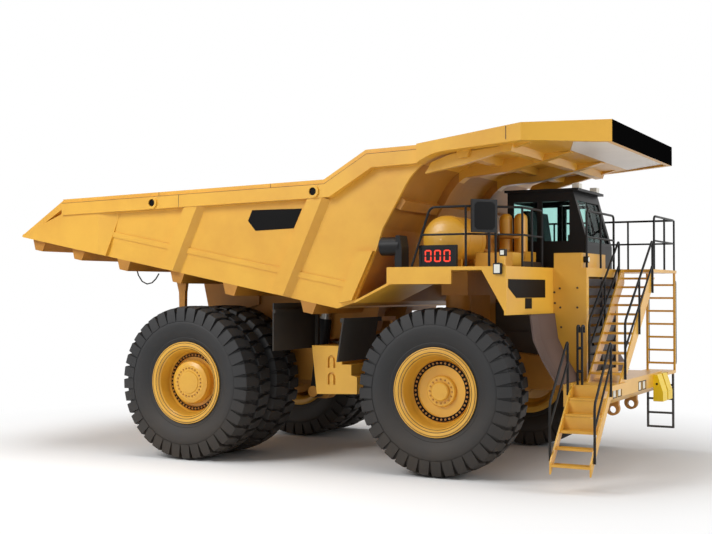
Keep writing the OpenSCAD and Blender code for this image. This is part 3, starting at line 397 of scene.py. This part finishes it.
for finishName, finishSpec in finishes.items():
    makeFinish(finishName, finishSpec)
makeGlass()
for glowName, glowSpec in glows.items():
    makeGlow(glowName, **glowSpec)

nodeFinish = {
    "truckPaint": ["front_bumper", "radiator_guard", "decks", "side_tanks", "front_stairs", "deck_gear",
                   "bed_floor", "bed_side_right", "bed_side_left", "lifting_rings", "rim_front_right",
                   "rim_front_left", "rims_rear_right", "rims_rear_left"],
    "canopyPaint": ["bed_canopy"],
    "ladderPaint": ["left_ladder"],
    "framePaint": ["chassis_frame", "rear_axle", "bed_front_wall", "bed_beams", "bed_bolsters",
                   "rock_ejectors", "suspension_struts", "knuckle_right", "knuckle_left", "tie_rod",
                   "tow_eyes"],
    "blackPaint": ["cab_shell", "cab_door", "handrails", "mirrors", "payload_display", "exhaust_outlet",
                   "hoist_barrels"],
    "grilleGrey": ["radiator_grille"],
    "greyCasting": ["engine_block"],
    "bareSteel": ["hoist_stages", "hoist_rods"],
    "flapRubber": ["mud_flaps"],
    "brightPaint": ["wheel_chocks"],
    "cabTrim": ["cab_interior"],
    "windowGlass": ["cab_glass", "door_glass"],
    "lampLens": ["lamps"],
    "tyreRubber": ["tyre_front_right", "tyre_front_left", "tyres_rear_right", "tyres_rear_left"],
}
for finishName, nodeNames in nodeFinish.items():
    for nodeName in nodeNames:
        nodeMesh = nodes[nodeName].data
        nodeMesh.materials.clear()
        nodeMesh.materials.append(materials[finishName])
print("finishes:", len(materials))

# Building helpers
sharpAngle = math.radians(34)
boltForm = dict(corners=6, sunk=0.004, taper=0.92)


def addPiece(name, bm, finish, body, smooth=False):
    mesh = bpy.data.meshes.new(name)
    bm.to_mesh(mesh)
    bm.free()
    obj = bpy.data.objects.new(name, mesh)
    scene.collection.objects.link(obj)
    mesh.materials.append(materials[finish])
    if smooth:
        mesh.shade_smooth()
        mesh.set_sharp_from_angle(angle=sharpAngle)
    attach(obj, body)
    return obj


def linked(verts, kind):
    # the edges or faces that meet at some corners, each once
    return list(dict.fromkeys(part for v in verts for part in getattr(v, kind)))


def addBox(bm, low, high, bevel=0):
    low, high = Vector(low), Vector(high)
    made = bmesh.ops.create_cube(bm, size=1)["verts"]
    bmesh.ops.scale(bm, vec=high - low, verts=made)
    bmesh.ops.translate(bm, vec=(low + high) / 2, verts=made)
    if bevel:
        bmesh.ops.bevel(bm, geom=linked(made, "link_edges"), offset=bevel, affect="EDGES", segments=2,
                        profile=0.5, material=-1, clamp_overlap=True)


def addCone(bm, start, end, radius, endRadius, segments):
    start, end = Vector(start), Vector(end)
    turn = (end - start).to_track_quat("Z", "Y").to_matrix().to_4x4()
    matrix = Matrix.Translation((start + end) / 2) @ turn
    bmesh.ops.create_cone(bm, cap_ends=True, segments=segments, radius1=radius, radius2=endRadius,
                          depth=(end - start).length, matrix=matrix)


def addRod(bm, start, end, radius, segments=12):
    addCone(bm, start, end, radius, radius, segments)


def addBolt(bm, place, way, radius, height):
    place, way = Vector(place), Vector(way).normalized()
    addCone(bm, place - way * boltForm["sunk"], place + way * height, radius, radius * boltForm["taper"],
            boltForm["corners"])


def addPrism(bm, points, way):
    low = [bm.verts.new(p) for p in points]
    high = [bm.verts.new(Vector(p) + Vector(way)) for p in points]
    sides = [(low[i], low[i - 1], high[i - 1], high[i]) for i in range(len(low))]
    made = [bm.faces.new(ring) for ring in [low, high] + sides]
    bmesh.ops.recalc_face_normals(bm, faces=made)


def rounded(points, radius, steps=4):
    # a path with its corners bent
    points = [Vector(p) for p in points]
    path = [points[0]]
    for a, b, c in zip(points, points[1:], points[2:]):
        start, end = b + (a - b).normalized() * radius, b + (c - b).normalized() * radius
        path += [start.lerp(b, k / steps).lerp(b.lerp(end, k / steps), k / steps) for k in range(steps + 1)]
    return path + [points[-1]]


def turns(count):
    return [2 * math.pi * k / count for k in range(count)]


def joinRings(bm, rings):
    made = []
    for a, b in zip(rings, rings[1:]):
        made += [bm.faces.new((a[k - 1], a[k], b[k], b[k - 1])) for k in range(len(a))]
    return made


def addPipe(bm, points, radius, segments=10):
    points = [Vector(p) for p in points]
    ways = [(b - a).normalized() for a, b in zip(points, points[1:])]
    ways = [ways[0]] + [(a + b).normalized() for a, b in zip(ways, ways[1:])] + [ways[-1]]
    side = ways[0].orthogonal().normalized()
    rings = []
    for point, way in zip(points, ways):
        side = (side - way * side.dot(way)).normalized()
        up = way.cross(side)
        spokes = [side * math.cos(a) + up * math.sin(a) for a in turns(segments)]
        rings.append([bm.verts.new(point + spoke * radius) for spoke in spokes])
    made = [bm.faces.new(rings[0]), bm.faces.new(rings[-1])] + joinRings(bm, rings)
    bmesh.ops.recalc_face_normals(bm, faces=made)


def spokesRound(way, count):
    # unit vectors square to an axis, evenly round it
    side = way.orthogonal().normalized()
    up = way.cross(side)
    return [side * math.cos(a) + up * math.sin(a) for a in turns(count)]


def addBoltRing(bm, place, way, radius, count, bolt, height):
    for out in spokesRound(way, count):
        addBolt(bm, place + out * radius, way, bolt, height)


def addTurned(bm, place, way, section, segments=72):
    # a closed section, given as (radius, height), turned round an axis
    rings = []
    for out in spokesRound(way, segments):
        rings.append([bm.verts.new(place + out * r + way * h) for r, h in section])
    bmesh.ops.recalc_face_normals(bm, faces=joinRings(bm, rings + rings[:1]))


# Tyres: a carcass turned from its profile, and a row of lugs on each side of the crown
tyre = dict(
    width=0.91, steps=144, lugCount=36, lugFoot=1.40, lugTop=1.490, chamfer=0.010, phase=0.25, taper=0.95,
    shoulderY=0.4, shoulderDrop=0.035, shoulderPull=0.953, skirt=(0.450, 1.195),
    profile=[(0.700, 0.300), (0.790, 0.335), (0.840, 0.352), (0.865, 0.368), (0.880, 0.366), (0.95, 0.410),
             (1.03, 0.441), (1.11, 0.4545), (1.16, 0.4535), (1.185, 0.448), (1.205, 0.430), (1.33, 0.400),
             (1.39, 0.370), (1.420, 0.340), (1.425, 0.20)],
    lug=[(-0.097, 0.446), (0.093, 0.446), (0.099, 0.30), (0.086, 0.20), (0.114, 0.16), (0.108, 0.03),
         (-0.048, 0.02), (-0.062, 0.13), (-0.100, 0.19), (-0.105, 0.30)])
wheelBodies = {"tyre_front_right": "wheel_front_right", "tyre_front_left": "wheel_front_left",
               "tyres_rear_right": "wheels_rear_right", "tyres_rear_left": "wheels_rear_left"}


def addCarcass(bm, centre):
    # the profile runs from the inner bead over the crown to the outer bead
    half = tyre["profile"]
    profile = [(r, -y) for r, y in half] + [(r, y) for r, y in reversed(half)]
    verts = [bm.verts.new(centre + Vector((0, y, r))) for r, y in profile]
    edges = [bm.edges.new(pair) for pair in zip(verts, verts[1:])]
    bmesh.ops.spin(bm, geom=verts + edges, cent=centre, axis=(0, 1, 0), angle=2 * math.pi,
                   steps=tyre["steps"], use_merge=True)


def addLugs(bm, centre, side):
    # a lug is broad at the shoulder, with a skirt down the wall, and stepped towards the crown
    low = [bm.verts.new((x, y * side, tyre["lugFoot"])) for x, y in tyre["lug"]]
    grown = bmesh.ops.extrude_face_region(bm, geom=[bm.faces.new(low)])["geom"]
    top = [part for part in grown if isinstance(part, bmesh.types.BMVert)]
    for v in top:
        shoulder = abs(v.co.y) > tyre["shoulderY"]
        v.co.z = tyre["lugTop"] - (tyre["shoulderDrop"] if shoulder else 0)
        v.co.y *= tyre["shoulderPull"] if shoulder else 1
        v.co.x *= tyre["taper"]
    for v in low[:2]:
        v.co.y, v.co.z = tyre["skirt"][0] * side, tyre["skirt"][1]
    rim = [e for e in linked(top, "link_edges") if all(u in top for u in e.verts)]
    made = bmesh.ops.bevel(bm, geom=rim, offset=tyre["chamfer"], affect="EDGES", segments=1, profile=0.5,
                           material=-1, clamp_overlap=True)["verts"]
    lug = list(dict.fromkeys([v for v in top + low if v.is_valid] + made))
    pitch = 2 * math.pi / tyre["lugCount"]
    shift = Matrix.Translation(centre) @ Matrix.Rotation(pitch * tyre["phase"] * side, 4, "Y")
    bmesh.ops.transform(bm, matrix=shift, verts=lug)
    bmesh.ops.spin(bm, geom=lug + linked(lug, "link_edges") + linked(lug, "link_faces"), cent=centre,
                   axis=(0, 1, 0), angle=2 * math.pi - pitch, steps=tyre["lugCount"] - 1, use_duplicate=True)


def makeTyres():
    for tyreNode, wheelBody in wheelBodies.items():
        low, high = boxOf(tyreNode)
        middle, half = (low + high) / 2, tyre["width"] / 2
        bm = bmesh.new()
        for y in sorted({round(low.y + half, 4), round(high.y - half, 4)}):
            centre = Vector((middle.x, y, middle.z))
            addCarcass(bm, centre)
            for side in (-1, 1):
                addLugs(bm, centre, side)
            bmesh.ops.recalc_face_normals(bm, faces=bm.faces)
        piece = addPiece(tyreNode + "_lugged", bm, "tyreRubber", wheelBody, smooth=True)
        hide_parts(tyreNode)


makeTyres()
print("tyres: lugs on", len(wheelBodies), "wheels")

# Payload display: three plain digits, each of six bars
digits = dict(count=3, height=0.21, width=0.125, stroke=0.022, gap=0.055, proud=0.003, sunk=0.002,
              recess=0.012, split=0.004, share=0.6)


def digitBars():
    # (left, right, low, high) of the bars of a digit
    t, half, h, split = digits["stroke"], digits["width"] / 2, digits["height"], digits["split"]
    bars = [(t - half, half - t, 0, t), (t - half, half - t, h - t, h)]
    for left in (-half, half - t):
        for z in (t * digits["share"], h / 2 + split + t * (1 - digits["share"])):
            bars.append((left, left + t, z, z + h / 2 - t - split))
    return bars


def makeDigits():
    low, high = boxOf("payload_display")
    middle = (low + high) / 2
    pitch = digits["width"] + digits["gap"]
    baseZ = middle.z - digits["height"] / 2
    face = low.y + digits["recess"]
    bm = bmesh.new()
    for i in range(digits["count"]):
        x = middle.x + (i - (digits["count"] - 1) / 2) * pitch
        for x0, x1, z0, z1 in digitBars():
            addBox(bm, (x + x0, face - digits["proud"], baseZ + z0),
                   (x + x1, face + digits["sunk"], baseZ + z1))
    addPiece("display_digits", bm, "redDigit", "chassis")


makeDigits()

# Wheel studs on a black ring of painted shade, where the gap between the rim's rings lies in shadow, and the
# edges of the lock rings, on the outer face of each rim
studs = dict(
    front=dict(ring=0.055, ringRadius=0.503, ringCount=40, hub=0.085, hubRadius=0.215, hubCount=16,
               band=(0.462, 0.544)),
    rear=dict(ring=0.060, ringRadius=0.525, ringCount=44, hub=0.235, hubRadius=0.275, hubCount=24,
              band=(0.492, 0.558)),
    ringBolt=0.022, hubBolt=0.016, boltHeight=0.02, gapShadeSunk=0.001, gapShadeThick=0.004,
    edges=[(0.770, 0.3705), (0.705, 0.3655), (0.662, 0.330)], edgeTube=0.0055, edgeCorners=6)


def makeStuds():
    tube = studs["edgeTube"]
    for tyreNode, wheelBody in wheelBodies.items():
        low, high = boxOf(tyreNode)
        out = 1 if low.y > 0 else -1
        way = Vector((0, out, 0))
        plane = (high.y if out > 0 else low.y) - out * tyre["width"] / 2
        axle = Vector(((low.x + high.x) / 2, plane, (low.z + high.z) / 2))
        spec = studs["front" if "front" in tyreNode else "rear"]
        bm = bmesh.new()
        for key in ("ring", "hub"):
            addBoltRing(bm, axle + way * spec[key], way, spec[key + "Radius"], spec[key + "Count"],
                        studs[key + "Bolt"], studs["boltHeight"])
        addPiece(wheelBody + "_studs", bm, "framePaint", wheelBody)
        # the black ring round the studs is painted shade of the shadowed gap in the rim
        bm = bmesh.new()
        inner, outer = spec["band"]
        section = [(inner, 0), (outer, 0), (outer, studs["gapShadeThick"]), (inner, studs["gapShadeThick"])]
        addTurned(bm, axle + way * (spec["ring"] - studs["gapShadeSunk"]), way, section)
        addPiece(wheelBody + "_stud_gap_shade", bm, "plateBlack", wheelBody)
        bm = bmesh.new()
        for radius, offset in studs["edges"]:
            section = [(radius + tube * math.cos(a), tube * math.sin(a)) for a in turns(studs["edgeCorners"])]
            addTurned(bm, axle + way * offset, way, section)
        addPiece(wheelBody + "_ring_edges", bm, "studBrown", wheelBody, smooth=True)


makeStuds()
print("display digits and wheel studs set")

# Bed: bare plate, black discs of painted shade in the lifting holes, seams of the rail, and a dark line of
# painted shade along the step between its cap and band
bedDress = dict(
    wallY=2.785, bandY=2.945, capY=2.900,
    plate=[(1.375, 4.824), (2.480, 4.819), (2.302, 4.453), (1.450, 4.427), (1.282, 4.621)], plateThick=0.006,
    holes=[(-0.890, 5.035), (2.810, 5.115)], holeRadius=0.073, holeSunk=0.002, holeProud=0.004, holeSides=24,
    seamHalf=0.005, seamProud=0.002, capSeams=[-0.76, 1.857], capSpan=(0.004, 0.078), bandSeams=[-0.245],
    bandSpan=(0.084, 0.326), railTop=[(-3.250, 5.190), (3.042, 5.330), (3.912, 5.830), (4.940, 5.859)],
    railRun=6.260, railRise=0.140, lineSpan=(0.080, 0.087), lineSunk=0.001, lineThick=0.003)


def railTopAt(x):
    startX, startZ = bedDress["railTop"][0]
    return startZ + (x - startX) / bedDress["railRun"] * bedDress["railRise"]


def addRailSeamsAndShade(bm, side):
    half, proud = bedDress["seamHalf"], bedDress["seamProud"]
    for key in ("cap", "band"):
        y = side * bedDress[key + "Y"]
        high, low = bedDress[key + "Span"]
        for x in bedDress[key + "Seams"]:
            z = railTopAt(x)
            addBox(bm, at(x - half, y - proud, z - low), at(x + half, y + proud, z - high))
    # a dark strip along the border of cap and band: painted shade at the step
    y = (bedDress["bandY"] - bedDress["lineSunk"]) * side
    high, low = bedDress["lineSpan"]
    line = bedDress["railTop"]
    for (x0, z0), (x1, z1) in zip(line, line[1:]):
        outline = [(x0, z0 - high), (x1, z1 - high), (x1, z1 - low), (x0, z0 - low)]
        addPrism(bm, [at(x, y, z) for x, z in outline], (0, bedDress["lineThick"] * side, 0))


def dressBed():
    bm = bmesh.new()
    outline = [at(x, -bedDress["wallY"], z) for x, z in bedDress["plate"]]
    addPrism(bm, outline, (0, -bedDress["plateThick"], 0))
    addPiece("bed_bare_plate", bm, "plateBlack", "bed")
    # black discs in the lifting holes: painted shade of their depth
    bm = bmesh.new()
    for side in (-1, 1):
        start = (bedDress["bandY"] - bedDress["holeSunk"]) * side
        end = (bedDress["bandY"] + bedDress["holeProud"]) * side
        for x, z in bedDress["holes"]:
            addRod(bm, at(x, start, z), at(x, end, z), bedDress["holeRadius"], bedDress["holeSides"])
    addPiece("lifting_hole_shade", bm, "plateBlack", "bed")
    bm = bmesh.new()
    for side in (-1, 1):
        addRailSeamsAndShade(bm, side)
    addPiece("bed_rail_seams_and_shade", bm, "studBrown", "bed")


dressBed()

# Underside of the canopy: deep webs along the two ribs and the edges, and ahead of them a pale plate that is
# a painted reflection of the white floor
canopy = dict(
    ribYs=[-1.000, 1.000], ribHalf=0.115, edgeYs=[-2.660, 2.660], edgeHalf=0.060,
    rib=[(5.030, 5.420), (5.280, 5.444), (5.640, 5.470), (5.910, 5.495), (6.560, 5.650), (7.130, 5.795),
         (7.130, 5.815), (6.000, 5.725), (5.500, 5.650), (5.150, 5.520)],
    edge=[(4.970, 5.360), (5.200, 5.400), (5.650, 5.478), (6.270, 5.640), (6.900, 5.800), (6.900, 5.815),
          (6.000, 5.735), (5.500, 5.690), (5.100, 5.560)],
    plate=[(7.600, -2.420), (7.160, -1.200), (7.160, 2.700), (8.090, 2.120), (8.090, -2.120)],
    plateProud=0.005, plateThick=0.006, under=(6.900, 5.813), underRun=1.300, underRise=0.040,
    seam=(6.632, 3.092), seamHalf=(0.006, 0.004), seamSpan=(5.830, 6.055))


def canopyUnder(x):
    startX, startZ = canopy["under"]
    return startZ + (x - startX) / canopy["underRun"] * canopy["underRise"]


def dressCanopy():
    bm = bmesh.new()
    for key in ("rib", "edge"):
        half = canopy[key + "Half"]
        for y in canopy[key + "Ys"]:
            addPrism(bm, [at(x, y - half, z) for x, z in canopy[key]], (0, 2 * half, 0))
    addPiece("canopy_webs", bm, "truckPaint", "bed")
    # pale plate on the canopy's front underside: painted reflection of the white floor
    bm = bmesh.new()
    outline = [at(x, y, canopyUnder(x) - canopy["plateProud"]) for x, y in canopy["plate"]]
    addPrism(bm, outline, (0, 0, canopy["plateThick"]))
    addPiece("canopy_floor_reflection", bm, "floorReflectionPaint", "bed")
    bm = bmesh.new()
    dx, dy = canopy["seamHalf"]
    low, high = canopy["seamSpan"]
    for side in (-1, 1):
        x, y = canopy["seam"][0], canopy["seam"][1] * side
        addBox(bm, at(x - dx, y - dy, low), at(x + dx, y + dy, high))
    addPiece("canopy_seams", bm, "studBrown", "bed")


dressCanopy()
print("bed and canopy dressed")

# Right front panel: two bare plates
panel = dict(corner=(6.600, -3.000), slope=0.0923, way=(0.9958, -0.0919, 0), sunk=0.001, thick=0.007,
             plate=[(-2.93, 3.48), (-1.42, 3.48), (-1.42, 3.16), (-2.62, 3.16), (-2.93, 3.34)],
             smallPlate=[(-2.262, 3.153), (-1.991, 3.153), (-1.991, 2.970), (-2.262, 2.970)])
# Guard: bolts on its right cheek
guard = dict(cheekY=-1.050, boltRadius=0.022, boltHeight=0.012,
             bolts=[(6.902, 3.325), (7.230, 3.335), (6.911, 2.978), (7.228, 2.980), (6.926, 2.621),
                    (6.800, 3.254), (6.810, 3.058)])
# Splash panels, carried out to their full width
splash = dict(inner=1.995, outer=2.350, thick=0.030,
              line=[(6.780, 2.869), (6.780, 2.840), (6.840, 2.420), (7.010, 2.060), (7.210, 1.740),
                    (7.250, 1.670)])


def onPanel(y, z):
    cornerX, cornerY = panel["corner"]
    return at(cornerX + (y - cornerY) * panel["slope"], y, z) - Vector(panel["way"]) * panel["sunk"]


def dressFront():
    bm = bmesh.new()
    for key in ("plate", "smallPlate"):
        addPrism(bm, [onPanel(y, z) for y, z in panel[key]], Vector(panel["way"]) * panel["thick"])
    addPiece("deck_bare_plates", bm, "plateBlack", "chassis")
    bm = bmesh.new()
    for x, z in guard["bolts"]:
        addBolt(bm, at(x, guard["cheekY"], z), (0, -1, 0), guard["boltRadius"], guard["boltHeight"])
    addPiece("guard_bolts", bm, "studBrown", "chassis")
    bm = bmesh.new()
    back = [(x + splash["thick"], z) for x, z in reversed(splash["line"])]
    for side in (-1, 1):
        outline = [at(x, side * splash["inner"], z) for x, z in splash["line"] + back]
        addPrism(bm, outline, (0, side * (splash["outer"] - splash["inner"]), 0))
    addPiece("splash_wings", bm, "splashGrey", "chassis")


dressFront()

# Lamps: two at the right deck's corner, given as (x, y, z, width, height), with their bracket
cluster = dict(
    lamps=[(6.380, -3.060, 3.560, 0.150, 0.190), (6.470, -2.995, 3.870, 0.110, 0.120)], depth=0.110,
    edge=0.014, border=0.022, lensProud=0.003, lensSunk=0.004,
    bracket=[(6.470, -2.985, 3.700), (6.560, -2.900, 3.960)], bracketEdge=0.012,
    gusset=[(6.470, -2.900, 3.700), (6.470, -2.720, 3.700), (6.470, -2.900, 3.930)], gussetThick=0.030,
    stalk=[(6.430, -2.990, 3.740), (6.520, -2.940, 3.760)], stalkRadius=0.016)
# One lamp on the riser of the guard
spot = dict(place=(-0.900, 3.850), shell=(7.308, 7.400), shellRadius=0.058, lens=(7.399, 7.404),
            lensRadius=0.046, sides=20)
# Bezels round the bumper's lamps
bezel = dict(bumperX=8.000, ys=[-1.500, -1.180, 0.250, 0.560], width=0.230, low=1.420, height=0.145,
             border=0.014, sunk=0.002, proud=0.006)


def addBezel(bm, y0):
    b, x = bezel["border"], bezel["bumperX"]
    y1, z0, z1 = y0 + bezel["width"], bezel["low"], bezel["low"] + bezel["height"]
    bars = [((y0 - b, z0 - b), (y1 + b, z0)), ((y0 - b, z1), (y1 + b, z1 + b)), ((y0 - b, z0), (y0, z1)),
            ((y1, z0), (y1 + b, z1))]
    for low, high in bars:
        addBox(bm, at(x - bezel["sunk"], *low), at(x + bezel["proud"], *high))


def dressLamps():
    dark, pale, bracket = bmesh.new(), bmesh.new(), bmesh.new()
    low, high = cluster["bracket"]
    addBox(bracket, at(*low), at(*high), cluster["bracketEdge"])
    addPrism(bracket, [at(*p) for p in cluster["gusset"]], (cluster["gussetThick"], 0, 0))
    b = cluster["border"]
    for x, y, z, w, h in cluster["lamps"]:
        addBox(dark, at(x, y, z), at(x + w, y + cluster["depth"], z + h), cluster["edge"])
        addBox(pale, at(x + b, y - cluster["lensProud"], z + b),
               at(x + w - b, y + cluster["lensSunk"], z + h - b))
    start, end = cluster["stalk"]
    addRod(dark, at(*start), at(*end), cluster["stalkRadius"])
    for bm, key in ((dark, "shell"), (pale, "lens")):
        start, end = [at(x, *spot["place"]) for x in spot[key]]
        addRod(bm, start, end, spot[key + "Radius"], spot["sides"])
    for y in bezel["ys"]:
        addBezel(dark, y)
    addPiece("lamp_housings", dark, "blackPaint", "chassis")
    addPiece("lamp_lenses", pale, "lampLens", "chassis")
    addPiece("lamp_bracket", bracket, "truckPaint", "chassis")


dressLamps()

# Mirror faces, set on the side that the photograph shows
mirror = dict(place=(6.250, 3.117), heights={-1: 4.550, 1: 5.100}, turn=math.radians(40), face=0.030,
              sunk=0.001, half=(0.195, 0.235), cut=0.05, thick=0.005)


def dressMirrors():
    bm = bmesh.new()
    x, y = mirror["place"]
    (w, h), cut = mirror["half"], mirror["cut"]
    outline = [(-w, h - cut), (-w + cut, h), (w - cut, h), (w, h - cut), (w, cut - h), (w - cut, -h),
               (cut - w, -h), (-w, cut - h)]
    for side, height in mirror["heights"].items():
        way = Vector((math.cos(mirror["turn"]), side * math.sin(mirror["turn"]), 0))
        along = Vector((math.sin(mirror["turn"]), -side * math.cos(mirror["turn"]), 0))
        centre = at(x, side * y, height) + way * (mirror["face"] - mirror["sunk"])
        addPrism(bm, [centre + along * u + Vector((0, 0, v)) for u, v in outline], way * mirror["thick"])
    addPiece("mirror_faces", bm, "plateBlack", "chassis")


dressMirrors()
print("front, lamps and mirrors dressed")

# Handrails as bent tubes: on the decks as (x, y), on the flights of stairs and beside the ladder as (y, z)
rail = dict(
    radius=0.022, midShare=0.85, postShare=0.95, bend=0.10, deck=3.695, mid=4.260, top=4.740,
    decks=[dict(way=[(4.820, -2.960), (5.900, -2.960), (6.600, -2.200), (6.600, -1.150)],
                posts=[(5.850, -2.960), (6.250, -2.580), (6.600, -2.200), (6.600, -1.700)], lean=0.36),
           dict(way=[(4.700, 2.960), (8.060, 2.960), (8.060, 1.250)],
                posts=[(5.480, 2.960), (6.300, 2.960), (7.100, 2.960), (8.060, 2.960), (8.060, 2.100)]),
           dict(way=[(7.360, -0.900), (7.360, 0.900)], posts=[(7.360, 0)])],
    flights=[dict(xs=(7.476, 8.124), start=(-1.150, 1.720), end=(0.850, 3.240), height=1.020, step=0.540,
                  middle=True),
             dict(xs=(7.416, 8.164), start=(-3.180, 0.500), end=(-2.220, 1.500), height=0.940, step=0.560,
                  middle=False)],
    hoopXs=(7.500, 8.060), hoop=[(2.995, 1.760), (3.080, 1.760), (3.080, 3.480), (2.995, 3.480)],
    hoopBend=0.06, hoopRadius=0.019)


def addRail(bm, ends, top, mid, posts):
    # the top tube comes down to both ends; mid is the tube below it; posts run from foot to head
    addPipe(bm, rounded([ends[0]] + top + [ends[1]], rail["bend"]), rail["radius"])
    addPipe(bm, rounded(mid, rail["bend"]), rail["radius"] * rail["midShare"])
    for foot, head in posts:
        addRod(bm, foot, head, rail["radius"] * rail["postShare"])


def deckRail(bm, way, posts, lean=0):
    # lean moves the head of the first post along the truck
    low, mid, high = rail["deck"], rail["mid"], rail["top"]
    ends = [at(*way[0], low), at(*way[-1], low)]
    tubes = []
    for z in (high, mid):
        tubes.append([at(x, y, z) for x, y in way])
        tubes[-1][0].x += lean * (z - low) / (high - low)
    addRail(bm, ends, *tubes, [(at(x, y, low), at(x, y, high)) for x, y in posts])


def flightRail(bm, xs, start, end, height, step, middle):
    rise = Vector((0, 0, height))
    for x in xs:
        ends = [at(x, *start), at(x, *end)]
        half = (ends[0] + ends[1]) / 2
        mid = [p + Vector((0, 0, step)) for p in ends]
        addRail(bm, ends, [p + rise for p in ends], mid, [(half, half + rise)] if middle else [])


def makeHandrails():
    bm = bmesh.new()
    for spec in rail["decks"]:
        deckRail(bm, **spec)
    for spec in rail["flights"]:
        flightRail(bm, **spec)
    for x in rail["hoopXs"]:
        addPipe(bm, rounded([at(x, y, z) for y, z in rail["hoop"]], rail["hoopBend"]), rail["hoopRadius"])
    piece = addPiece("handrails_bent", bm, "blackPaint", "chassis", smooth=True)
    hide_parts("handrails")


makeHandrails()
print("handrails bent")

# Box on the right deck
airBox = dict(low=(4.980, -0.500, 3.698), high=(5.360, 0.100, 4.400), edge=0.03)
# Hooked posts with rungs on the platform, and the toe board of the right deck, painted black as the shadow
# under the deck's locker box
posts = dict(xs=(7.540, 7.620), line=[(-2.060, 1.668), (-2.060, 2.680), (-1.940, 2.680), (-1.940, 2.560)],
             bend=0.05, radius=0.021, rungX=(7.530, 7.630), rungY=-2.060, rungZs=(1.900, 2.300),
             rungRadius=0.026, toeShadowBoard=[(6.590, -2.180, 3.698), (6.602, -1.160, 3.800)])
# Wipers on the windscreen: arm and blade, with y counted from the arm's foot
wiper = dict(ys=(1.000, 1.800), sides=8, arm=[(6.948, 0, 4.240), (6.810, 0.180, 4.770)], armRadius=0.011,
             blade=[(6.900, 0.180, 4.420), (6.722, 0.190, 5.050)], bladeRadius=0.013)
# Pipes and straps of the reservoir
reservoir = dict(
    pipes=[([(5.300, -1.300, 4.060), (5.420, -1.000, 4.060), (5.500, -0.800, 3.930), (5.500, -0.495, 3.930)],
            0.08, 0.035),
           ([(5.450, -1.420, 3.930), (5.760, -1.100, 3.860), (5.760, -0.495, 3.860)], 0.10, 0.030),
           ([(5.550, -0.320, 4.300), (5.550, -0.520, 4.300), (5.850, -0.520, 4.300), (5.850, -0.320, 4.300)],
            0.06, 0.028)],
    axis=(5.200, 4.200), strapYs=(-2.200, -1.600), strapHalf=0.025, strapRadius=0.436, strapSides=48)
# Slots and holes of the wheel chocks, filled black as painted shade, with the slots counted from each chock's
# side
chock = dict(ys=(1.380, 1.820), slots=(0.090, 0.180, 0.270), slotWidth=0.014,
             slot=[(8.192, 1.290), (8.082, 1.632), (8.070, 1.620), (8.180, 1.285)],
             hole=(8.070, 1.460), holeHalf=0.003, holeRadius=0.022, holeSides=16)


def addFittings(bm):
    for x in posts["xs"]:
        addPipe(bm, rounded([at(x, y, z) for y, z in posts["line"]], posts["bend"]), posts["radius"])
    for z in posts["rungZs"]:
        start, end = [at(x, posts["rungY"], z) for x in posts["rungX"]]
        addRod(bm, start, end, posts["rungRadius"])
    # black toe board: painted shadow under the locker box on the right deck
    low, high = posts["toeShadowBoard"]
    addBox(bm, at(*low), at(*high))
    for y in wiper["ys"]:
        for key in ("arm", "blade"):
            start, end = [at(x, y + step, z) for x, step, z in wiper[key]]
            addRod(bm, start, end, wiper[key + "Radius"], wiper["sides"])


def addChockSlotShade(bm):
    x, z = chock["hole"]
    for y in chock["ys"]:
        for step in chock["slots"]:
            addPrism(bm, [at(u, y + step, v) for u, v in chock["slot"]], (0, chock["slotWidth"], 0))
        addRod(bm, at(x, y - chock["holeHalf"], z), at(x, y + chock["holeHalf"], z), chock["holeRadius"],
               chock["holeSides"])


def dressDecks():
    bm = bmesh.new()
    addBox(bm, at(*airBox["low"]), at(*airBox["high"]), airBox["edge"])
    addPiece("deck_air_box", bm, "framePaint", "chassis")
    bm = bmesh.new()
    addFittings(bm)
    addPiece("deck_rail_fittings", bm, "blackPaint", "chassis", smooth=True)
    bm = bmesh.new()
    for line, bend, radius in reservoir["pipes"]:
        addPipe(bm, rounded([at(*p) for p in line], bend), radius)
    addPiece("reservoir_pipes", bm, "framePaint", "chassis", smooth=True)
    bm = bmesh.new()
    x, z = reservoir["axis"]
    for y in reservoir["strapYs"]:
        addRod(bm, at(x, y - reservoir["strapHalf"], z), at(x, y + reservoir["strapHalf"], z),
               reservoir["strapRadius"], reservoir["strapSides"])
    addPiece("reservoir_straps", bm, "truckPaint", "chassis", smooth=True)
    # black fills of the chocks' slots and holes: painted shade
    bm = bmesh.new()
    addChockSlotShade(bm)
    addPiece("chock_slot_shade", bm, "plateBlack", "chassis")


dressDecks()

# Cable that hangs in a loop under the tail
tailCable = dict(y=-1.900, radius=0.014, sides=8,
                 line=[(-2.120, 3.780), (-2.060, 3.610), (-1.960, 3.480), (-1.833, 3.424), (-1.700, 3.450),
                       (-1.600, 3.530), (-1.520, 3.640)])


def dressTail():
    bm = bmesh.new()
    line = [at(x, tailCable["y"], z) for x, z in tailCable["line"]]
    addPipe(bm, line, tailCable["radius"], tailCable["sides"])
    addPiece("tail_cable", bm, "blackPaint", "bed", smooth=True)


dressTail()
print("fittings set")
